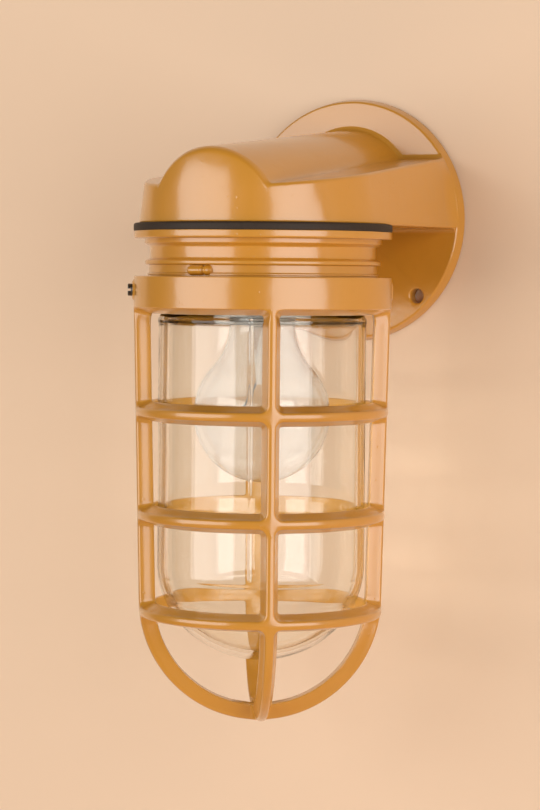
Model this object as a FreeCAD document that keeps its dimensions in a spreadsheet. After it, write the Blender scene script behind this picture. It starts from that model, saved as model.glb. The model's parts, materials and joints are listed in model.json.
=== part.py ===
import FreeCAD, Part
import math
import os
import Sketcher

# Cast vapor wall light: round wall plate, hollow arm and hood in one casting, a ribbed
# globe holder under it, a screwed-in glass jar with a bulb, and a cast cage guard.
# Millimetres. The origin is the centre of the wall plate's back face, +Z is up and the
# lamp stands toward -Y.

doc = FreeCAD.newDocument("VaporWallLight")
sheet = doc.addObject("Spreadsheet::Sheet", "Dims")

driving_sizes = [
    # outside radius of the plate, the flange and the guard's collar alike
    ("lamp_radius", 50.8),
    # wall plate
    ("plate_depth", 5.6),
    ("plate_round", 1.6),
    ("wall_screw_inset", 6.35),
    ("wall_screw_hole_radius", 3.1),
    ("plate_rim", 12.8),
    ("recess_depth", 1.6),
    ("wall_gasket_gap", 0.4),
    ("wall_gasket_width", 6.5),
    ("wire_hole_radius", 12.0),
    ("wire_hole_rise", 13.6),
    # arm and hood
    ("reach", 82.5),
    ("hood_drop", 3.5),
    ("hood_inset", 1.9),
    ("hood_draft", 8.8),
    ("hood_block_height", 46.0),
    ("hood_wall", 4.2),
    ("arm_floor", 4.0),
    ("shelf_front_rise", 10.4),
    ("shelf_wall_rise", 26.2),
    ("barrel_radius", 28.3),
    ("barrel_front_rise", 25.0),
    ("barrel_wall_rise", 38.3),
    ("arch_round", 4.5),
    ("shelf_round", 1.0),
    ("boss_radius", 4.6),
    ("pilot_radius", 1.7),
    ("pilot_depth", 9.0),
    # rubber ring between hood and globe holder
    ("hood_gasket_depth", 2.5),
    ("hood_gasket_bore", 29.0),
    # globe holder
    ("flange_depth", 3.15),
    ("floor_bore", 28.0),
    ("step_inset", 4.2),
    ("step_height", 1.9),
    ("step_bevel", 1.2),
    ("groove_inset", 6.4),
    ("groove_height", 4.3),
    ("ridge_inset", 4.3),
    ("ridge_height", 1.9),
    ("ridge_land", 0.6),
    ("band_inset", 5.9),
    ("band_height", 4.2),
    ("lip_inset", 5.3),
    ("lip_height", 0.95),
    ("skirt_inset", 5.4),
    ("skirt_height", 10.4),
    ("skirt_wall", 4.0),
    ("lug_length", 11.6),
    ("lug_height", 4.2),
    ("lug_reach", 3.4),
    ("lug_side", 3.2),
    ("holder_screw_inset", 7.4),
    # glass jar and its rubber ring
    ("globe_wall", 3.4),
    ("globe_clearance", 0.4),
    ("globe_straight_drop", 137.5),
    ("globe_dome_flattening", 3.0),
    ("globe_shoulder_offset", 5.0),
    ("globe_bottom_wall", 7.0),
    ("globe_inner_extra_drop", 2.5),
    ("globe_inner_shoulder_offset", 11.6),
    ("globe_rim_round", 1.4),
    ("globe_gasket_depth", 2.0),
    ("globe_gasket_width", 3.7),
    # cage guard
    ("guard_clearance", 0.5),
    ("guard_seat_gap", 0.3),
    ("collar_height", 12.1),
    ("collar_bevel_drop", 2.7),
    ("collar_bevel_width", 6.0),
    ("ledge_overlap", 1.6),
    ("ledge_rise", 4.4),
    ("guard_bottom_gap", 24.4),
    ("guard_taper", 2.5),
    ("bar_depth", 6.4),
    ("bar_outer_width", 3.6),
    ("bar_inner_width", 7.2),
    ("bar_round", 0.9),
    ("ring_proud", 0.15),
    ("ring_depth", 6.0),
    ("ring_one_drop", 77.0),
    ("ring_two_drop", 117.8),
    ("ring_three_extra_drop", 18.8),
    ("guard_turn", 32.3),
    ("set_screw_radius", 2.4),
    ("set_screw_stand", 2.2),
    ("set_screw_tip_gap", 0.3),
    ("set_boss_radius", 2.8),
    ("set_boss_reach", 0.6),
    ("set_screw_drop", 30.2),
    # porcelain socket
    ("socket_flange_radius", 27.0),
    ("socket_flange_depth", 6.0),
    ("socket_top_rise", 1.0),
    ("socket_skirt_radius", 19.5),
    ("socket_length", 38.0),
    ("socket_floor", 12.0),
    ("socket_screw_circle_radius", 23.4),
    ("shell_radius", 14.2),
    ("shell_thickness", 0.5),
    ("shell_length", 23.0),
    ("contact_radius", 4.0),
    ("contact_thickness", 0.6),
    ("contact_rise", 1.0),
    # bulb
    ("bulb_radius", 27.0),
    ("bulb_center_drop", 78.1),
    ("bulb_neck_radius", 13.0),
    ("bulb_flank_radius", 25.0),
    ("bulb_wall", 0.7),
    ("base_radius", 13.3),
    ("base_thickness", 0.4),
    ("base_length", 20.5),
    ("base_gap", 0.35),
    ("insulator_height", 3.4),
    ("tip_radius", 4.4),
    ("tip_height", 1.1),
    ("stem_radius", 4.6),
    ("stem_length", 30.0),
    ("stem_top_drop", 36.5),
    ("support_radius", 0.45),
    ("support_foot", 1.9),
    ("filament_radius", 0.35),
    ("filament_half", 9.5),
    # small fasteners and leads
    ("screw_hole_radius", 2.3),
    ("screw_head_radius", 3.3),
    ("screw_head_depth", 2.3),
    ("screw_grip", 12.0),
    ("slot_width", 1.0),
    ("slot_depth", 1.1),
    ("terminal_radius", 2.8),
    ("terminal_height", 2.6),
    ("terminal_spread", 9.0),
    ("terminal_back", 14.0),
    ("lead_radius", 1.3),
    ("ground_screw_side", 17.0),
    ("ground_screw_back", 33.0),
    ("ground_pilot_depth", 4.3),
    ("ground_grip", 4.0),
    ("lead_gap", 0.3),
    ("lead_first_back", 42.0),
    ("lead_second_back", 17.0),
    ("lead_hole_side", 5.0),
    ("ground_first_back", 27.0),
    ("ground_second_back", 12.0),
    # one overrun for all cuts, and how far the casting's blocks run past the wall first
    ("overrun", 3.0),
    ("wall_overrun", 14.0),
]


class Size:
    """A number together with the spreadsheet formula that gives it."""

    def __init__(self, value, text):
        self.value = value
        self.text = text

    def __add__(self, other):
        return Size(self.value + other.value, "(%s + %s)" % (self.text, other.text))

    def __sub__(self, other):
        return Size(self.value - other.value, "(%s - %s)" % (self.text, other.text))

    def __mul__(self, other):
        return Size(self.value * other.value, "(%s * %s)" % (self.text, other.text))

    def __truediv__(self, other):
        return Size(self.value / other.value, "(%s / %s)" % (self.text, other.text))

    def __neg__(self):
        return Size(-self.value, "(0 - %s)" % self.text)

    def root(self):
        return Size(math.sqrt(self.value), "sqrt(%s)" % self.text)


for row, (alias, value) in enumerate(driving_sizes, start=1):
    sheet.set("A%d" % row, alias.replace("_", " "))
    sheet.set("B%d" % row, "%g" % value)
    sheet.setAlias("B%d" % row, alias)
doc.recompute()
size = {alias: Size(value, "Dims." + alias) for alias, value in driving_sizes}
zero = Size(0.0, "0")
one = Size(1.0, "1")
two = Size(2.0, "2")
half = one / two


def bind(item, prop, amount):
    item.setExpression(prop, amount.text)


def place(item, across=zero, along=zero, up=zero):
    for axis, amount in (("x", across), ("y", along), ("z", up)):
        if amount is not zero:
            bind(item, "Placement.Base." + axis, amount)


# Radii that follow the lamp's outside, each by how far it is set in.
size["plate_radius"] = size["lamp_radius"]
size["wall_screw_circle_radius"] = size["plate_radius"] - size["wall_screw_inset"]
size["recess_radius"] = size["plate_radius"] - size["plate_rim"]
size["flange_radius"] = size["lamp_radius"]
size["hood_radius"] = size["flange_radius"] - size["hood_inset"]
for ring in ("step", "groove", "ridge", "band", "lip", "skirt"):
    size[ring + "_radius"] = size["flange_radius"] - size[ring + "_inset"]
globe_bore = size["skirt_radius"] - size["skirt_wall"]
size["holder_screw_circle_radius"] = globe_bore - size["holder_screw_inset"]
size["globe_radius"] = globe_bore - size["globe_clearance"]
globe_inner = size["globe_radius"] - size["globe_wall"]
size["globe_shoulder_radius"] = size["globe_radius"] - size["globe_shoulder_offset"]
size["globe_inner_shoulder_radius"] = globe_inner - size["globe_inner_shoulder_offset"]
size["globe_dome_height"] = size["globe_radius"] - size["globe_dome_flattening"]
size["ring_three_drop"] = size["globe_straight_drop"] + size["ring_three_extra_drop"]
size["guard_bottom_drop"] = (size["globe_straight_drop"] + size["globe_dome_height"]
                             + size["guard_bottom_gap"])
size["guard_radius"] = size["lamp_radius"]
size["ledge_radius"] = size["skirt_radius"] - size["ledge_overlap"]
size["guard_dome_radius"] = size["guard_radius"] - size["guard_taper"]

# Heights of the stack on the lamp axis, each one worked out from the one above it.
hood_base = -size["hood_drop"]
flange_top = hood_base - size["hood_gasket_depth"]
flange_low = flange_top - size["flange_depth"]
step_low = flange_low - size["step_height"]
groove_top = step_low - size["step_bevel"]
groove_low = groove_top - size["groove_height"]
ridge_low = groove_low - size["ridge_height"]
band_low = ridge_low - size["band_height"]
lip_low = band_low - size["lip_height"]
skirt_low = lip_low - size["skirt_height"]
collar_top = lip_low - size["guard_seat_gap"]
collar_low = collar_top - size["collar_height"]
bevel_low = collar_low - size["collar_bevel_drop"]
globe_rim = flange_low - size["globe_gasket_depth"]
lamp_line = -size["reach"]


def new_body(label, on_lamp_axis=True):
    body = doc.addObject("PartDesign::Body", label)
    body.Label = label
    if on_lamp_axis:
        place(body, along=lamp_line)
    return body


def origin_plane(body, role):
    return [item for item in body.Origin.OriginFeatures if item.Role == role][0]


def new_sketch(body, role, name, lift=None):
    sketch = body.newObject("Sketcher::SketchObject", name)
    sketch.AttachmentSupport = [(origin_plane(body, role), "")]
    sketch.MapMode = "FlatFace"
    if lift is not None:
        bind(sketch, ".AttachmentOffset.Base.z", lift)
    return sketch


def pin_point(sketch, side, end, across, up):
    """Holds one end of a side at its sizes from the sketch origin."""
    for kind, amount, axis in (("DistanceX", across, -2), ("DistanceY", up, -1)):
        if amount is zero:
            sketch.addConstraint(Sketcher.Constraint("PointOnObject", side, end, axis))
        else:
            index = sketch.addConstraint(
                Sketcher.Constraint(kind, -1, 1, side, end, amount.value))
            bind(sketch, "Constraints[%d]" % index, amount)


def arc_between(start, finish, radius, bulge):
    """Circle arc from start to finish, on the left of the way there when bulge is 1."""
    chord = finish - start
    left = FreeCAD.Vector(-chord.y, chord.x, 0).normalize()
    middle = (start + finish) * half.value
    away = math.sqrt(max(radius ** 2 - (chord.Length * half.value) ** 2, 0.0))
    crown = middle + left * (bulge * (radius - away))
    return Part.Arc(start, crown, finish)


def outline(sketch, corners, closed=True):
    """Sides through the corners; a corner is (across, up) or (across, up, radius, bulge),
    where the last two bend the side that follows it."""
    first = sketch.GeometryCount
    count = len(corners) if closed else len(corners) - 1
    ends = []
    for index in range(count):
        corner = corners[index]
        after = corners[(index + 1) % len(corners)]
        start = FreeCAD.Vector(corner[0].value, corner[1].value, 0)
        finish = FreeCAD.Vector(after[0].value, after[1].value, 0)
        if len(corner) == 4:
            arc = arc_between(start, finish, corner[2].value, corner[3])
            side = sketch.addGeometry(arc, False)
            from_start = (sketch.getPoint(side, 1) - start).Length
            to_finish = (sketch.getPoint(side, 1) - finish).Length
            ends.append((1, 2) if from_start < to_finish else (2, 1))
            radius = sketch.addConstraint(
                Sketcher.Constraint("Radius", side, corner[2].value))
            bind(sketch, "Constraints[%d]" % radius, corner[2])
        else:
            sketch.addGeometry(Part.LineSegment(start, finish), False)
            ends.append((1, 2))
    for index in range(count):
        pin_point(sketch, first + index, ends[index][0], corners[index][0], corners[index][1])
        after = (index + 1) % count
        if closed or index + 1 < count:
            sketch.addConstraint(Sketcher.Constraint(
                "Coincident", first + index, ends[index][1], first + after, ends[after][0]))
    if not closed:
        pin_point(sketch, first + count - 1, ends[-1][1], corners[-1][0], corners[-1][1])


def circle(sketch, across, up, radius):
    center = FreeCAD.Vector(across.value, up.value, 0)
    ring = sketch.addGeometry(Part.Circle(center, FreeCAD.Vector(0, 0, 1), radius.value), False)
    pin_point(sketch, ring, 3, across, up)
    index = sketch.addConstraint(Sketcher.Constraint("Radius", ring, radius.value))
    bind(sketch, "Constraints[%d]" % index, radius)


def turned(body, name, corners):
    """Adds the outline, turned all the way round the body's upright axis."""
    sketch = new_sketch(body, "XZ_Plane", name + "Profile")
    outline(sketch, corners)
    feature = body.newObject("PartDesign::Revolution", name)
    feature.Profile = sketch
    feature.ReferenceAxis = (sketch, ["V_Axis"])
    feature.Angle = 360
    return feature


def bored(body, name, sketch, reversed_cut=False, both_ways=False, depth=None):
    """Cuts the sketch through the body, or to a depth."""
    feature = body.newObject("PartDesign::Pocket", name)
    feature.Profile = sketch
    feature.Midplane = both_ways
    feature.Reversed = reversed_cut
    if depth is None:
        feature.Type = "ThroughAll"
    else:
        bind(feature, "Length", depth)
    return feature


def spun(body, name, feature, count, angle=360):
    """Repeats a feature round the body's upright axis."""
    pattern = body.newObject("PartDesign::PolarPattern", name)
    pattern.Originals = [feature]
    pattern.Axis = (origin_plane(body, "Z_Axis"), [""])
    pattern.Angle = angle
    pattern.Occurrences = count
    body.Tip = pattern
    return pattern


# Wall plate, arm and hood: one hollow casting. The hood is a drafted U in plan, cut off by
# a shelf that climbs toward the wall, with a half-round barrel raised along its middle.
front = size["reach"] + size["hood_radius"]
shelf_slope = (size["shelf_wall_rise"] - size["shelf_front_rise"]) / front
barrel_slope = (size["barrel_wall_rise"] - size["barrel_front_rise"]) / front


def drafted_plan(label, radius, base, rear, height):
    """U-shaped plan about the lamp axis, run back to the rear line and drawn in upward."""
    body = new_body(label)
    sketch = new_sketch(body, "XY_Plane", label + "Plan", base)
    outline(sketch, [
        (-radius, zero, radius, -1),
        (zero, -radius, radius, -1),
        (radius, zero),
        (radius, rear),
        (-radius, rear)])
    pad = body.newObject("PartDesign::Pad", label + "Pad")
    pad.Profile = sketch
    bind(pad, "Length", height)
    bind(pad, "TaperAngle", -size["hood_draft"])
    return body


def roof(label, lower, grow):
    """Everything under the shelf plane and the barrel, both lowered by one wall."""
    side = doc.addObject("PartDesign::Body", label + "Shelf")
    sketch = new_sketch(side, "YZ_Plane", label + "ShelfSide")
    low = hood_base - size["overrun"]
    outline(sketch, [
        (-front - grow, low),
        (grow, low),
        (grow, size["shelf_wall_rise"] + grow * shelf_slope - lower),
        (-front - grow, size["shelf_front_rise"] - grow * shelf_slope - lower)])
    pad = side.newObject("PartDesign::Pad", label + "ShelfPad")
    pad.Profile = sketch
    pad.Midplane = True
    bind(pad, "Length", front * two)
    barrel = doc.addObject("Part::Cylinder", label + "Barrel")
    slant = (one + barrel_slope * barrel_slope).root()
    bind(barrel, "Radius", size["barrel_radius"] - lower)
    bind(barrel, "Height", (front + grow * two) * slant)
    barrel.Placement = FreeCAD.Placement(
        FreeCAD.Vector(), FreeCAD.Rotation(FreeCAD.Vector(1, 0, 0), 90))
    bind(barrel, "Placement.Rotation.Angle", one * Size(90.0, "90")
         + Size(math.degrees(math.atan(barrel_slope.value)), "atan(%s) / 1 deg" % barrel_slope.text))
    place(barrel, along=grow, up=size["barrel_wall_rise"] - size["barrel_radius"]
          + grow * barrel_slope)
    both = doc.addObject("Part::Fuse", label)
    both.Base = side
    both.Tool = barrel
    return both


def common(label, base, tool):
    item = doc.addObject("Part::Common", label)
    item.Base = base
    item.Tool = tool
    return item


def fuse_all(label, pieces):
    item = doc.addObject("Part::MultiFuse", label)
    item.Shapes = pieces
    return item


def cut(label, base, tool):
    item = doc.addObject("Part::Cut", label)
    item.Base = base
    item.Tool = tool
    return item


def rod(name, radius, length, across=zero, along=zero, up=zero, axis=None):
    """Round bar from its base point, upright unless an axis is given."""
    item = doc.addObject("Part::Cylinder", name)
    bind(item, "Radius", radius)
    bind(item, "Height", length)
    if axis is not None:
        item.Placement = FreeCAD.Placement(
            FreeCAD.Vector(), FreeCAD.Rotation(FreeCAD.Vector(0, 0, 1), axis))
    place(item, across, along, up)
    return item


toward_room = FreeCAD.Vector(0, -1, 0)
hood_block = drafted_plan("HoodBlock", size["hood_radius"], hood_base,
                          size["reach"] + size["wall_overrun"], size["hood_block_height"])
hood_solid = common("HoodSolid", hood_block,
                    roof("HoodRoof", zero, size["wall_overrun"] + size["overrun"]))
doc.recompute()


def near(edge, test):
    """True when every point along the edge passes the test."""
    steps = 6
    low, high = edge.ParameterRange
    spots = [edge.valueAt(low + (high - low) * step / steps) for step in range(steps + 1)]
    return all(test(spot) for spot in spots)


def edges_where(shape, test):
    return [index for index, edge in enumerate(shape.Edges, start=1) if near(edge, test)]


def shelf_height(along):
    return size["shelf_wall_rise"].value + along * shelf_slope.value


def barrel_height(across, along):
    center = size["barrel_wall_rise"].value - size["barrel_radius"].value
    drop = size["barrel_radius"].value ** 2 - across ** 2
    return center + along * barrel_slope.value + math.sqrt(max(drop, 0.0))


def wall_reach(up):
    """Half width of the drafted hood wall at this height."""
    draft = math.tan(math.radians(size["hood_draft"].value))
    return size["hood_radius"].value - (up - hood_base.value) * draft


edge_tolerance = 0.1
arch_tolerance = 0.3


def on_wall(spot):
    ahead = min(spot.y - lamp_line.value, 0.0)
    return abs(math.hypot(spot.x, ahead) - wall_reach(spot.z)) < edge_tolerance


def on_arch(spot):
    along_barrel = abs(spot.z - barrel_height(spot.x, spot.y)) < arch_tolerance
    return on_wall(spot) and along_barrel and spot.y < lamp_line.value


def on_shelf_edge(spot):
    return on_wall(spot) and abs(spot.z - shelf_height(spot.y)) < edge_tolerance


rounded_hood = doc.addObject("Part::Fillet", "RoundedHood")
rounded_hood.Base = hood_solid
arch_edges = edges_where(hood_solid.Shape, on_arch)
shelf_edges = [index for index in edges_where(hood_solid.Shape, on_shelf_edge)
               if index not in arch_edges]
rounded_hood.Edges = (
    [(index, size["arch_round"].value, size["arch_round"].value) for index in arch_edges]
    + [(index, size["shelf_round"].value, size["shelf_round"].value) for index in shelf_edges])
print("hood edges rounded: arch %d, shelf %d" % (len(arch_edges), len(shelf_edges)))

plate = rod("PlateDisc", size["plate_radius"], size["plate_depth"], axis=toward_room)
doc.recompute()
rounded_plate = doc.addObject("Part::Fillet", "RoundedPlate")
rounded_plate.Base = plate
rounded_plate.Edges = [
    (index, size["plate_round"].value, size["plate_round"].value)
    for index in edges_where(plate.Shape, lambda spot: spot.y < -edge_tolerance)
    if plate.Shape.Edges[index - 1].Closed]



def everything_behind(name, along):
    block = doc.addObject("Part::Box", name)
    for prop, amount in (("Length", front * two), ("Width", front), ("Height", front * two)):
        bind(block, prop, amount)
    place(block, across=-front, along=along, up=-front)
    return block


hood_to_wall = cut("HoodToWall", rounded_hood, everything_behind("BehindWall", zero))

# Hollow: a round well over the globe holder and a tunnel back to the wire hole.
well = doc.addObject("Part::Cone", "Well")
draft_share = Size(math.tan(math.radians(size["hood_draft"].value)),
                   "tan(Dims.hood_draft * 1 deg)")
bind(well, "Radius1", size["hood_radius"] - size["hood_wall"] + size["overrun"] * draft_share)
bind(well, "Radius2", size["hood_radius"] - size["hood_wall"]
     - size["hood_block_height"] * draft_share)
bind(well, "Height", size["hood_block_height"] + size["overrun"])
place(well, along=lamp_line, up=hood_base - size["overrun"])
tunnel = new_body("Tunnel")
tunnel_plan = new_sketch(tunnel, "XY_Plane", "TunnelPlan", hood_base + size["arm_floor"])
tunnel_half = size["hood_radius"] - size["hood_wall"] - size["arm_floor"] * draft_share
outline(tunnel_plan, [
    (-tunnel_half, zero), (tunnel_half, zero),
    (tunnel_half, size["reach"] + size["wall_overrun"]),
    (-tunnel_half, size["reach"] + size["wall_overrun"])])
tunnel_pad = tunnel.newObject("PartDesign::Pad", "TunnelPad")
tunnel_pad.Profile = tunnel_plan
bind(tunnel_pad, "Length", size["hood_block_height"])
bind(tunnel_pad, "TaperAngle", -size["hood_draft"])
hollow_room = cut("HollowRoom", fuse_all("HollowBlocks", [well, tunnel]),
                  everything_behind("PlateZone", -size["plate_depth"]))
hollow = common("Hollow", hollow_room, roof("HollowRoof", size["hood_wall"], size["overrun"]))

# Posts inside the hood: four for the globe holder's screws and two for the socket's.
quarter_share = half.root()
holder_spot = size["holder_screw_circle_radius"] * quarter_share
holder_spots = [(sx, sy) for sx in (1, -1) for sy in (1, -1)]
post_length = size["hood_block_height"]
posts = []
pilots = []


def signed(sign, amount):
    return amount if sign > 0 else -amount


for number, (sx, sy) in enumerate(holder_spots, start=1):
    spot = (signed(sx, holder_spot), lamp_line + signed(sy, holder_spot))
    posts.append(rod("HolderPost%d" % number, size["boss_radius"], post_length,
                     spot[0], spot[1], hood_base))
    pilots.append(rod("HolderPilot%d" % number, size["pilot_radius"],
                      size["pilot_depth"] + size["overrun"],
                      spot[0], spot[1], hood_base - size["overrun"]))
for number, sx in enumerate((1, -1), start=1):
    across = signed(sx, size["socket_screw_circle_radius"])
    posts.append(rod("SocketPost%d" % number, size["boss_radius"], post_length,
                     across, lamp_line, size["socket_top_rise"]))
    pilots.append(rod("SocketPilot%d" % number, size["pilot_radius"],
                      size["pilot_depth"] + size["overrun"],
                      across, lamp_line, size["socket_top_rise"] - size["overrun"]))
ground_spot = (size["ground_screw_side"], -size["ground_screw_back"])
ground_seat = hood_base + size["arm_floor"] + size["lead_radius"]
posts.append(rod("GroundPost", size["boss_radius"], size["arm_floor"] + size["lead_radius"],
                 ground_spot[0], ground_spot[1], hood_base))
pilots.append(rod("GroundPilot", size["pilot_radius"], size["ground_pilot_depth"] + size["overrun"],
                  ground_spot[0], ground_spot[1], ground_seat - size["ground_pilot_depth"]))
post_set = common("PostSet", fuse_all("Posts", posts), hood_solid)

wall_screw_spot = size["wall_screw_circle_radius"] * quarter_share
openings = list(pilots)
openings.append(rod("WireHole", size["wire_hole_radius"], size["plate_depth"] + size["overrun"] * two,
                    zero, size["overrun"], size["wire_hole_rise"], toward_room))
openings.append(rod("BackRecess", size["recess_radius"], size["recess_depth"] + size["overrun"],
                    zero, size["overrun"], zero, toward_room))
for number, sx in enumerate((1, -1), start=1):
    openings.append(rod("WallScrewHole%d" % number, size["wall_screw_hole_radius"],
                        size["plate_depth"] + size["overrun"] * two,
                        signed(sx, wall_screw_spot), size["overrun"],
                        signed(-sx, wall_screw_spot), toward_room))
skin = fuse_all("CastingSkin", [rounded_plate, hood_to_wall])
shell = cut("CastingShell", skin, hollow)
bracket = cut("bracket", fuse_all("CastingWithPosts", [shell, post_set]),
              fuse_all("CastingHoles", openings))
bracket.Label = "bracket"

# Foam ring in the back recess, against the wall.
wall_gasket = new_body("wall_gasket", on_lamp_axis=False)
wall_gasket_sketch = new_sketch(wall_gasket, "XZ_Plane", "WallGasketRing")
wall_gasket_radius = size["recess_radius"] - size["wall_gasket_gap"]
circle(wall_gasket_sketch, zero, zero, wall_gasket_radius)
circle(wall_gasket_sketch, zero, zero, wall_gasket_radius - size["wall_gasket_width"])
wall_gasket_pad = wall_gasket.newObject("PartDesign::Pad", "WallGasketPad")
wall_gasket_pad.Profile = wall_gasket_sketch
bind(wall_gasket_pad, "Length", size["recess_depth"])

# Rubber ring between the hood and the globe holder, with the four screw holes.
hood_gasket = new_body("hood_gasket")
ring_sketch = new_sketch(hood_gasket, "XY_Plane", "HoodGasketRing", flange_top)
circle(ring_sketch, zero, zero, size["flange_radius"])
circle(ring_sketch, zero, zero, size["hood_gasket_bore"])
ring_pad = hood_gasket.newObject("PartDesign::Pad", "HoodGasketPad")
ring_pad.Profile = ring_sketch
bind(ring_pad, "Length", size["hood_gasket_depth"])
hole_sketch = new_sketch(hood_gasket, "XY_Plane", "HoodGasketHole", hood_base)
circle(hole_sketch, holder_spot, holder_spot, size["screw_hole_radius"])
spun(hood_gasket, "HoodGasketHoles",
     bored(hood_gasket, "HoodGasketBore", hole_sketch,
           depth=size["hood_gasket_depth"] + size["overrun"]), 4)

# Globe holder: a ribbed ring with a floor for the screws and a skirt for the guard.
holder = new_body("globe_holder")
turned(holder, "HolderTurning", [
    (size["floor_bore"], flange_top),
    (size["flange_radius"], flange_top),
    (size["flange_radius"], flange_low),
    (size["step_radius"], flange_low),
    (size["step_radius"], step_low),
    (size["groove_radius"], groove_top),
    (size["groove_radius"], groove_low),
    (size["ridge_radius"], groove_low - size["ridge_land"]),
    (size["ridge_radius"], ridge_low),
    (size["band_radius"], ridge_low),
    (size["band_radius"], band_low),
    (size["lip_radius"], band_low),
    (size["lip_radius"], lip_low),
    (size["skirt_radius"], lip_low),
    (size["skirt_radius"], skirt_low),
    (globe_bore, skirt_low),
    (globe_bore, flange_low),
    (size["floor_bore"], flange_low)])
lug_sketch = new_sketch(holder, "XZ_Plane", "LugEnd")
lug_half = size["lug_length"] * half
lug_top = ridge_low - (size["band_height"] + size["lip_height"] - size["lug_height"])
lug_end = size["lug_height"] * half
lug_left = -size["lug_side"] - lug_half
lug_right = lug_half - size["lug_side"]
outline(lug_sketch, [
    (lug_left, lug_top - size["lug_height"]),
    (lug_right - lug_end, lug_top - size["lug_height"], lug_end, -1),
    (lug_right, lug_top - lug_end, lug_end, -1),
    (lug_right - lug_end, lug_top),
    (lug_left, lug_top)])
lug = holder.newObject("PartDesign::Pad", "Lug")
lug.Profile = lug_sketch
bind(lug, "Length", size["band_radius"] + size["lug_reach"])
holder_core_sketch = new_sketch(holder, "XY_Plane", "GlobeBore", flange_low)
circle(holder_core_sketch, zero, zero, globe_bore)
spun(holder, "Lugs", lug, 2)
bored(holder, "GlobeBorePocket", holder_core_sketch)
screw_sketch = new_sketch(holder, "XY_Plane", "HolderScrewHole", flange_top)
circle(screw_sketch, holder_spot, holder_spot, size["screw_hole_radius"])
spun(holder, "HolderScrewHoles",
     bored(holder, "HolderScrewBore", screw_sketch), 4)

# Rubber ring on the jar's rim.
globe_gasket = new_body("globe_gasket")
turned(globe_gasket, "GlobeGasketTurning", [
    (size["globe_radius"], flange_low),
    (size["globe_radius"], globe_rim),
    (size["globe_radius"] - size["globe_gasket_width"], globe_rim),
    (size["globe_radius"] - size["globe_gasket_width"], flange_low)])

# Glass jar: straight sides, a wide shoulder arc and a ball-shaped bottom that meet smoothly.
def jar_end(radius, shoulder, start, bottom):
    """Spot where the shoulder arc meets the bottom's ball, and the ball's radius."""
    offset = radius - shoulder
    height = start - bottom
    ball_radius = ((height * height + offset * offset - shoulder * shoulder)
                   / ((height - shoulder) * two))
    spread = ball_radius / (ball_radius - shoulder)
    across = offset * spread
    up = bottom + ball_radius - (ball_radius - height) * spread
    return across, up, ball_radius


globe_dome_start = -size["globe_straight_drop"]
globe_bottom = globe_dome_start - size["globe_dome_height"]
outer_end = jar_end(size["globe_radius"], size["globe_shoulder_radius"], globe_dome_start,
                    globe_bottom)
inner_start = globe_dome_start - size["globe_inner_extra_drop"]
inner_bottom = globe_bottom + size["globe_bottom_wall"]
inner_end = jar_end(globe_inner, size["globe_inner_shoulder_radius"], inner_start, inner_bottom)
glass_globe = new_body("glass_globe")
turned(glass_globe, "GlobeTurning", [
    (size["globe_radius"] - size["globe_rim_round"], globe_rim, size["globe_rim_round"], 1),
    (size["globe_radius"], globe_rim - size["globe_rim_round"]),
    (size["globe_radius"], globe_dome_start, size["globe_shoulder_radius"], 1),
    (outer_end[0], outer_end[1], outer_end[2], 1),
    (zero, globe_bottom),
    (zero, inner_bottom, inner_end[2], -1),
    (inner_end[0], inner_end[1], size["globe_inner_shoulder_radius"], -1),
    (globe_inner, inner_start),
    (globe_inner, globe_rim)])

# Cage guard: a collar, two U-shaped bars crossing at the bottom and three rings.
guard_wall_bore = size["skirt_radius"] + size["guard_clearance"]
dome_center = size["guard_dome_radius"] - size["guard_bottom_drop"]
bar_top = collar_low - (size["ledge_rise"] - size["collar_bevel_drop"]) * half
guard_slope = ((size["guard_radius"] - size["guard_dome_radius"])
               / (bar_top - dome_center))
slant = (one + guard_slope * guard_slope).root()
tangent_across = size["guard_dome_radius"] / slant
tangent_up = dome_center - size["guard_dome_radius"] * guard_slope / slant
bar_top_across = tangent_across + (bar_top - tangent_up) * guard_slope

collar = new_body("GuardCollar", on_lamp_axis=False)
turned(collar, "Collar", [
    (guard_wall_bore, collar_top),
    (size["guard_radius"], collar_top),
    (size["guard_radius"], collar_low),
    (size["guard_radius"] - size["collar_bevel_width"], bevel_low),
    (size["ledge_radius"], bevel_low),
    (size["ledge_radius"], bevel_low + size["ledge_rise"]),
    (guard_wall_bore, bevel_low + size["ledge_rise"])])
boss_sketch = new_sketch(collar, "YZ_Plane", "ScrewBoss")
circle(boss_sketch, zero, -size["set_screw_drop"], size["set_boss_radius"])
boss = collar.newObject("PartDesign::Pad", "ScrewBosses")
boss.Profile = boss_sketch
boss.Midplane = True
bind(boss, "Length", (size["guard_radius"] + size["set_boss_reach"]) * two)
bore_sketch = new_sketch(collar, "XY_Plane", "CollarBore", collar_top)
circle(bore_sketch, zero, zero, guard_wall_bore)
bored(collar, "CollarBorePocket", bore_sketch, depth=collar_top - bevel_low - size["ledge_rise"])
screw_hole_sketch = new_sketch(collar, "YZ_Plane", "SetScrewHole")
circle(screw_hole_sketch, zero, -size["set_screw_drop"], size["set_screw_radius"])
bored(collar, "SetScrewHoles", screw_hole_sketch, both_ways=True)

bar_out = bar_top_across
bar_in = bar_top_across - size["bar_depth"]
bar_half = size["bar_outer_width"] * half
bar_foot = size["bar_inner_width"] * half
flat = bar_half - size["bar_round"]


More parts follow.
